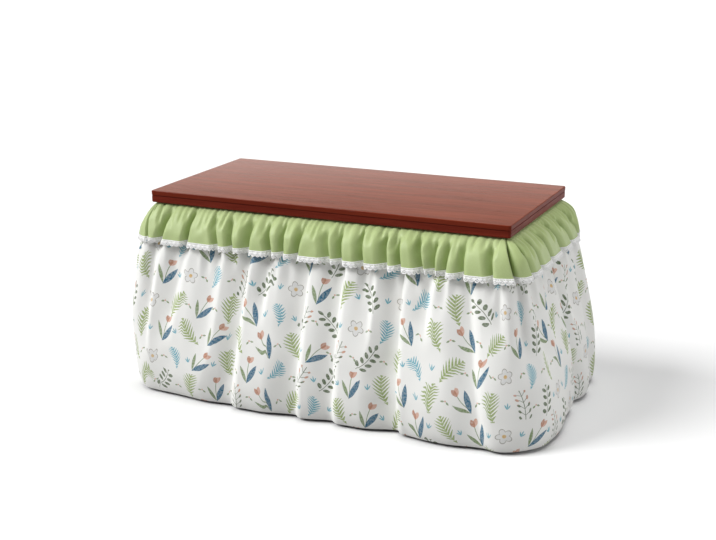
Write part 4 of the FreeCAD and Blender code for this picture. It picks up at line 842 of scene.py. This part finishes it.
# Folds of the skirt, round from the front left corner: header, hem, low, depth, before, after.
SKIRT_HIGH = 0.7
SKIRT_VALLEYS = [
    (0.125, 0.040, 0.10, 0.020, 0.057, 0.027),
    (0.235, 0.100, 0.15, 0.015, 0.068, 0.030),
    (0.338, 0.285, 0.10, 0.014, 0.061, 0.042),
    (0.455, 0.388, TO_HEM, 0.030, 0.076, 0.027),
    (0.522, 0.470, 0.26, 0.018, 0.049, 0.023),
    (0.652, 0.617, TO_HEM, 0.029, 0.076, 0.025),
    (0.766, 0.740, TO_HEM, 0.029, 0.068, 0.027),
    (0.860, 0.850, 0.22, 0.015, 0.057, 0.030),
    (0.951, 0.957, TO_HEM, 0.040, 0.080, 0.025),
    (1.046, 1.030, 0.28, 0.018, 0.053, 0.025),
    (1.146, 1.240, TO_HEM, 0.020, 0.068, 0.034),
    (1.262, 1.300, 0.30, 0.014, 0.049, 0.030),
    (1.361, 1.366, 0.20, 0.020, 0.049, 0.046),
    (1.482, 1.466, 0.16, 0.021, 0.038, 0.057),
    (1.590, 1.600, 0.22, 0.016, 0.034, 0.057),
    (1.698, 1.760, TO_HEM, 0.040, 0.030, 0.068),
    (1.800, 1.850, 0.20, 0.018, 0.034, 0.057),
    (1.925, 1.950, TO_HEM, 0.024, 0.042, 0.065),
    (2.100, 2.120, 0.20, 0.020, 0.053, 0.038),
    (2.205, 2.230, TO_HEM, 0.026, 0.038, 0.068),
    (2.305, 2.300, 0.24, 0.016, 0.057, 0.030),
    (2.420, 2.395, TO_HEM, 0.030, 0.072, 0.028),
    (2.535, 2.550, TO_HEM, 0.025, 0.034, 0.068),
    (2.640, 2.630, 0.20, 0.016, 0.049, 0.034),
    (2.735, 2.755, TO_HEM, 0.034, 0.076, 0.027),
    (2.850, 2.835, 0.28, 0.018, 0.053, 0.027),
    (2.940, 2.965, TO_HEM, 0.027, 0.034, 0.068),
    (3.060, 3.045, 0.12, 0.020, 0.057, 0.034),
    (3.160, 3.185, TO_HEM, 0.031, 0.072, 0.027),
    (3.275, 3.270, 0.22, 0.017, 0.053, 0.030),
    (3.375, 3.345, TO_HEM, 0.022, 0.038, 0.057),
    (3.490, 3.470, 0.20, 0.018, 0.049, 0.034),
    (3.600, 3.630, TO_HEM, 0.023, 0.068, 0.027),
    (3.715, 3.700, 0.20, 0.018, 0.049, 0.030),
    (3.820, 3.850, TO_HEM, 0.023, 0.034, 0.065),
    (3.925, 3.915, 0.24, 0.017, 0.049, 0.030),
    (4.030, 4.055, 0.10, 0.020, 0.057, 0.034),
]
SKIRT_FOLDS = [Fold(header, hem, low, SKIRT_HIGH, *rest) for header, hem, low, *rest in SKIRT_VALLEYS]
SKIRT_GATHERS = thinned(
    scattered_folds(5, 0.0, AROUND - 0.02, 0.036, 0.007, (0.38, 0.42, 0.46), 0.66, 0.024, 0.016, 0.004)
)

# Extra belly of the cloth between the long folds: middle in t, height, half width, half height, size.
BELLIES = [
    (0.30, 0.10, 0.10, 0.16, 0.006),
    (0.50, 0.12, 0.09, 0.14, 0.004),
    (0.68, 0.10, 0.06, 0.14, 0.004),
    (1.10, 0.09, 0.09, 0.14, 0.014),
    (1.52, 0.08, 0.12, 0.16, 0.014),
    (1.88, 0.06, 0.09, 0.12, 0.004),
    (3.74, 0.08, 0.14, 0.16, 0.012),
]

FRILL_TOP = 0.6195
FRILL_EDGE = 0.514

# The frill's outlines, like the skirt's, which run on a little below its edge.
FRILL_FRONT = [
    (0.48, 0.099), (0.5, 0.094), (0.516, 0.090), (0.54, 0.085), (0.56, 0.079), (0.58, 0.070), (0.597, 0.057),
    (0.609, 0.041), (0.616, 0.028), (0.6195, 0.020),
]  # fmt: skip
FRILL_LEFT = [
    (0.48, 0.083), (0.5, 0.081), (0.516, 0.078), (0.54, 0.072), (0.56, 0.064), (0.58, 0.055), (0.597, 0.044),
    (0.609, 0.033), (0.616, 0.025), (0.6195, 0.020),
]  # fmt: skip
FRILL_RIGHT = [(z, 0.02 + (out - 0.02) * 1.06) for z, out in FRILL_FRONT]
FRILL_HIGH = 0.75

# Valleys between the frill's pipes in front and at the right: t at the header and at the lower edge.
FRILL_VALLEYS = [
    (0.035, 0.081), (0.155, 0.133), (0.239, 0.228), (0.312, 0.341), (0.373, 0.395), (0.451, 0.451),
    (0.503, 0.528), (0.559, 0.569), (0.627, 0.617), (0.699, 0.724), (0.750, 0.766), (0.815, 0.836),
    (0.893, 0.911), (0.933, 0.954), (0.997, 1.025), (1.052, 1.062), (1.098, 1.094), (1.140, 1.150),
    (1.216, 1.245), (1.305, 1.338), (1.398, 1.430), (1.490, 1.528), (1.585, 1.630), (1.690, 1.745),
    (1.790, 1.848), (1.890, 1.945),
]  # fmt: skip


def frill_folds():
    """The valleys between the frill's pipes, placed in front and at the right, scattered elsewhere."""
    random = np.random.default_rng(31)
    share = ((FRILL_EDGE - HEM) / (HEADER - HEM)) ** PATH_BEND
    folds = []
    for header, edge in FRILL_VALLEYS:
        hem = header + (edge - header) / (1 - share)  # where the valley would end, were the frill as long
        depth = random.uniform(0.034, 0.046)
        gentle, steep = random.uniform(0.024, 0.040), 0.017
        if header > KNOTS[2]:
            folds.append(Fold(header, hem, TO_HEM, FRILL_HIGH, depth * 1.2, 0.015, gentle * 1.3))
        else:
            folds.append(Fold(header, hem, TO_HEM, FRILL_HIGH, depth, gentle, steep))
    folds += scattered_folds(33, 2.02, AROUND - 0.03, 0.072, 0.036, TO_HEM, FRILL_HIGH, 0.044, 0.018, 0.05)
    return folds


FRILL_FOLDS = frill_folds()
FRILL_TUCKS = thinned(
    scattered_folds(35, 0.0, AROUND - 0.01, 0.024, 0.0095, (0.548, 0.562, 0.58), 0.66, 0.013, 0.009, 0.002)
)


def frill_out(t, height):
    """The frill's distance outside the legs' faces and its slip, also a little below its lower edge."""
    low = outline(t, height, FRILL_FRONT, FRILL_LEFT, FRILL_RIGHT)
    opened = eased(0.622, 0.565, height)
    depth, slip = valleys(t, height, FRILL_FOLDS, 0.0, 2.4)
    tucks, _ = valleys(t, height, FRILL_TUCKS, 0.0, 2.0)
    crumple = ripple(t, height, 0.03, 0.03, 21) * 0.0016 + ripple(t, height, 0.09, 0.06, 22) * 0.0025
    return low + 0.004 * opened - depth * (0.12 + 0.88 * opened) - tucks + crumple * opened, slip * opened


UNDER_FRILL = 0.0045  # room between the skirt's outer face and the frill's


def skirt_out(t, height):
    """The skirt's distance outside the legs' faces and its slip; it stays inside the frill that covers it."""
    out = outline(t, height, SKIRT_FRONT, SKIRT_LEFT, SKIRT_RIGHT)
    for middle, level, wide, tall, size in BELLIES:
        away = wrapped(t - middle) / wide
        out = out + size * np.exp(-(away**2) - ((height - level) / tall) ** 2)
    depth, slip = valleys(t, height, SKIRT_FOLDS, 0.45)
    gathers, _ = valleys(t, height, SKIRT_GATHERS, 0.6)
    free = eased(0.612, 0.5, height)  # 0 where the header holds the cloth
    settled = 1 - 0.35 * eased(0.10, 0.0, height)  # folds flatten a little at the hem
    relief = ripple(t, height, 0.11, 0.16, 41) * 0.0045 + ripple(t, height, 0.045, 0.07, 42) * 0.0016
    out = out - (depth * settled + gathers) * (0.04 + 0.96 * free) + relief * free
    cover, _ = frill_out(t, np.maximum(height, FRILL_EDGE - 0.018))
    room = cover - UNDER_FRILL + 0.3 * eased(0.5, 0.40, height)
    return np.minimum(out, room), slip * free


# ---------------------------------------------------------------- the cover's meshes


def smooth_mesh(name, points, faces, flat=None):
    """A mesh with smooth shading; flat gives each point's place on the flat cloth for the UV map."""
    mesh = bpy.data.meshes.new(name)
    mesh.from_pydata(points.tolist(), [], faces.tolist())
    mesh.shade_smooth()
    if flat is not None:
        corners = np.empty(len(mesh.loops), np.int32)
        mesh.loops.foreach_get("vertex_index", corners)
        layer = mesh.uv_layers.new(name="cloth")
        layer.data.foreach_set("uv", flat[corners].astype(np.float32).ravel())
    mesh.validate()
    return mesh


def grid_faces(rows, columns):
    """Quads between the points of a grid."""
    index = np.arange(rows * columns).reshape(rows, columns)
    corners = (index[:-1, :-1], index[1:, :-1], index[1:, 1:], index[:-1, 1:])
    return np.stack([c.ravel() for c in corners], axis=-1)


def lengths(points, axis):
    """Distance run along a grid's rows or columns."""
    steps = np.linalg.norm(np.diff(points, axis=axis), axis=-1)
    first = np.zeros_like(np.take(steps, [0], axis=axis))
    return np.cumsum(np.concatenate([first, steps], axis=axis), axis=axis)


def thicken(item, thickness, inward=True):
    shell = item.modifiers.new("cloth", "SOLIDIFY")
    shell.thickness = thickness
    shell.offset = -1 if inward else 1


def border(rows, columns):
    """Indices round the edge of a grid, in order."""
    index = np.arange(rows * columns).reshape(rows, columns)
    return np.concatenate([index[:-1, 0], index[-1, :-1], index[:0:-1, -1], index[0, :0:-1]])


CLOTH_THICKNESS = 0.0011


def shell_mesh(name, points, facing, flat):
    """A grid of points as cloth with inner face and rims, shaded by given normals, so panels join unseen."""
    rows, columns = points.shape[:2]
    outer, normals = points.reshape(-1, 3), facing.reshape(-1, 3)
    count = len(outer)
    faces = grid_faces(rows, columns)
    rim = border(rows, columns)
    after = np.roll(rim, -1)
    rims = np.stack([rim, rim + count, after + count, after], axis=-1)
    all_faces = np.concatenate([faces, faces[:, ::-1] + count, rims])
    both = np.concatenate([outer, outer - normals * CLOTH_THICKNESS])
    mesh = smooth_mesh(name, both, all_faces, np.concatenate([flat, flat + (0.0, INNER_V)]))
    mesh.normals_split_custom_set_from_vertices(np.concatenate([normals, -normals]).tolist())
    return mesh


PRINTED_ALONG = 0.8  # share of the way down at which a panel's u is its true run


def cloth_panel(name, drape, side, levels, column, start_u):
    """One panel of the cover as a thin sheet, its flat width and length, and the run its print takes up.

    Two more columns are worked out beyond its ends, for the normals there.
    """
    start, end = PANELS[side]
    columns = int(round((end - start) / column))
    step = (end - start) / columns
    t = (start + step * np.arange(-1, columns + 2))[None, :]
    out, slip = drape(t, levels[:, None])
    points = spots(t, out, slip, levels[:, None])
    facing = np.cross(np.gradient(points, axis=0), np.gradient(points, axis=1))
    facing /= np.linalg.norm(facing, axis=-1, keepdims=True)
    points, facing = points[:, 1:-1], facing[:, 1:-1]
    run, down = lengths(points, 1), lengths(points, 0)
    printed = run[int(len(levels) * PRINTED_ALONG)]
    flat = np.stack([np.broadcast_to(start_u + printed, down.shape), down], axis=-1).reshape(-1, 2)
    item = link(shell_mesh(name, points, facing, flat), name)
    return item, (float(run[-1, -1]), float(down[-1].mean())), float(printed[-1])


def even_levels(profile, low, high, step):
    """Heights from high to low at even steps along a profile."""
    fine = np.linspace(high, low, 800)
    out = curve(profile, fine)
    run = np.concatenate([[0], np.cumsum(np.hypot(np.diff(fine), np.diff(out)))])
    count = int(round(run[-1] / step))
    return np.interp(np.linspace(0, run[-1], count + 1), run, fine)


# Steps of the cloths' grids: down the drape and round the table.
SKIRT_STEPS = (0.0065, 0.0036)
FRILL_STEPS = (0.0034, 0.003)


def make_cloth(paints):
    """Skirt and frill, panel after panel."""
    skirt_levels = even_levels(SKIRT_FRONT, HEM, HEADER, SKIRT_STEPS[0])
    frill_levels = even_levels(FRILL_FRONT, FRILL_EDGE, FRILL_TOP, FRILL_STEPS[0])
    cloths = (
        ("skirt", skirt_out, skirt_levels, SKIRT_STEPS[1]),
        ("frill", frill_out, frill_levels, FRILL_STEPS[1]),
    )
    for cloth, drape, levels, column in cloths:
        used = 0.0
        for side in PANELS:
            panel, flat, printed = cloth_panel(f"{cloth}_cloth_{side}", drape, side, levels, column, used)
            used += printed
            dress(panel, paints[f"{cloth}_cloth"], "cover", f"{cloth}_cloth", f"{cloth}_{side}")


def dress(item, material, body, slot, *nodes):
    """Gives a piece its material and body, and hides the nodes that it stands for; slot is not used."""
    item.data.materials.append(material)
    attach(item, body)
    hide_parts(*nodes)


# Lace: one scallop of the trim is drawn in shares of its width and its height.
LACE_TOP = 0.5195
LACE_DROP = 0.019
SCALLOP = 0.0165
LACE_THICKNESS = 0.0006
SEAM = 0.00004  # points of neighbouring scallops that are nearer than this are one


def ring(x, y, radius_x, radius_y, count, turn=0.0):
    """Points round an ellipse whose longer way is turned."""
    angles = np.arange(count) / count * FULL_TURN
    u, v = radius_x * np.cos(angles), radius_y * np.sin(angles)
    cosine, sine = math.cos(turn), math.sin(turn)
    return [(x + a * cosine - b * sine, y + a * sine + b * cosine) for a, b in zip(u, v)]


def scallop_outline():
    """Straight upper edge, then a row of five small loops round the scallop's lower edge."""
    shoulder, steps, loops = 0.6, 30, 5
    points = [(0.0, 0.0), (0.25, 0.0), (0.5, 0.0), (0.75, 0.0), (1.0, 0.0), (1.0, shoulder)]
    for step in range(1, steps):
        angle = math.pi * step / steps
        loop = 0.05 * abs(math.sin(angle * loops))
        x = 0.5 + (0.5 - 0.02 + loop * 0.4) * math.cos(angle)
        y = shoulder + (0.34 + loop) * math.sin(angle)
        points.append((x, y))
    return points + [(0.0, shoulder)]


def scallop_holes():
    """A row of eyelets, a fan of five slots and an eyelet over them."""
    holes = [ring(x, 0.2, 0.07, 0.055, 8) for x in (0.14, 0.38, 0.62, 0.86)]
    for turn in (-62, -31, 0, 31, 62):
        angle = math.radians(turn)
        x, y = 0.5 + 0.27 * math.sin(angle), 0.5 + 0.25 * math.cos(angle)
        holes.append(ring(x, y, 0.042, 0.11, 8, -angle))
    holes.append(ring(0.5, 0.45, 0.09, 0.06, 10))
    return holes


def inside(point, loop):
    """Whether a point lies in a closed loop."""
    x, y = point
    odd = False
    for (x0, y0), (x1, y1) in zip(loop, loop[1:] + loop[:1]):
        if (y0 > y) != (y1 > y) and x < (x1 - x0) * (y - y0) / (y1 - y0) + x0:
            odd = not odd
    return odd


def scallop_mesh():
    """Points and triangles of one scallop."""
    outline_points, holes = scallop_outline(), scallop_holes()
    points, edges = [], []
    for loop in [outline_points] + holes:
        first = len(points)
        points += loop
        edges += [(first + i, first + (i + 1) % len(loop)) for i in range(len(loop))]
    found, _, faces, _, _, _ = delaunay_2d_cdt([Vector(p) for p in points], edges, [], 0, 1e-5)
    found = [tuple(p) for p in found]
    kept = []
    for face in faces:
        middle = tuple(sum(found[i][k] for i in face) / len(face) for k in (0, 1))
        if inside(middle, outline_points) and not any(inside(middle, hole) for hole in holes):
            kept.append(face)
    return np.array(found), np.array(kept)


def make_lace(paints):
    """Scallop after scallop along the frill's lower edge, in front of it."""
    t = np.linspace(0, AROUND, 6000)
    out, slip = frill_out(t, np.full_like(t, LACE_TOP))
    run = lengths(spots(t, out, slip, LACE_TOP), 0)
    count = int(round(run[-1] / SCALLOP))
    cell, triangles = scallop_mesh()
    cells = np.arange(count)[:, None]
    way = np.interp((cells + cell[None, :, 0]) / count * run[-1], run, t)
    drop = np.broadcast_to(cell[None, :, 1], way.shape)
    height = LACE_TOP - LACE_DROP * drop
    out, slip = frill_out(way, height)
    flutter = np.sin(way / 0.031 * FULL_TURN + 2 * np.sin(way * 9)) * 0.0011 * drop
    points = spots(way, out + 0.0012 + 0.0015 * drop + flutter, slip, height).reshape(-1, 3)
    faces = (triangles[None] + cells[:, :, None] * len(cell)).reshape(-1, 3)
    mesh = smooth_mesh("lace_edging", points, faces)
    merge_seams(mesh)
    lace = link(mesh, "lace_edging")
    thicken(lace, LACE_THICKNESS, inward=False)
    dress(lace, paints["lace"], "cover", "lace", "lace_trim")
    corner, along, across = (cell[triangles[:, k]] for k in range(3))
    (x0, y0), (x1, y1) = (along - corner).T, (across - corner).T
    share = float(abs(x0 * y1 - x1 * y0).sum() / 2)  # of a scallop's cell, what its edge and holes leave


def merge_seams(mesh):
    """Joins the points that neighbouring cells share."""
    work = bmesh.new()
    work.from_mesh(mesh)
    bmesh.ops.remove_doubles(work, verts=work.verts, dist=SEAM)
    bmesh.ops.recalc_face_normals(work, faces=work.faces)
    work.to_mesh(mesh)
    work.free()


BAND_ROWS, BAND_COLUMNS = 15, 4200
BAND_RIB = 0.0075
BAND_THICKNESS = 0.001


def make_waistband(paints):
    """Elastic tape round the legs, ribbed by its gathers."""
    low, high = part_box("waist_elastic")
    t = np.linspace(0, AROUND, BAND_COLUMNS)
    levels = np.linspace(high.z, low.z, BAND_ROWS)[:, None]
    turns = t / BAND_RIB * FULL_TURN
    out = 0.0012 + 0.0012 * (1 + np.sin(turns + 1.5 * np.sin(t * 23)))[None, :]
    rounding = 0.0009 * np.sin(np.linspace(0, math.pi, BAND_ROWS))[:, None]
    height = levels + 0.0006 * np.sin(turns)[None, :]
    points = spots(t[None, :], out + rounding, 0, height)
    run = lengths(points, 1)
    flat = np.stack([run, np.broadcast_to(high.z - levels, run.shape)], axis=-1).reshape(-1, 2)
    mesh = smooth_mesh("waistband", points.reshape(-1, 3), grid_faces(BAND_ROWS, BAND_COLUMNS), flat)
    band = link(mesh, "waistband")
    thicken(band, BAND_THICKNESS)
    dress(band, paints["elastic"], "cover", "elastic", "waist_elastic")
    tall = float(high.z - low.z)
    gathered = sum(face.area for face in mesh.polygons) / tall


bpy.context.scene.view_settings.view_transform = "Standard"
make_camera()
make_light()
make_floor()
material_of = dress_nodes()
make_cloth(material_of)
make_lace(material_of)
make_waistband(material_of)
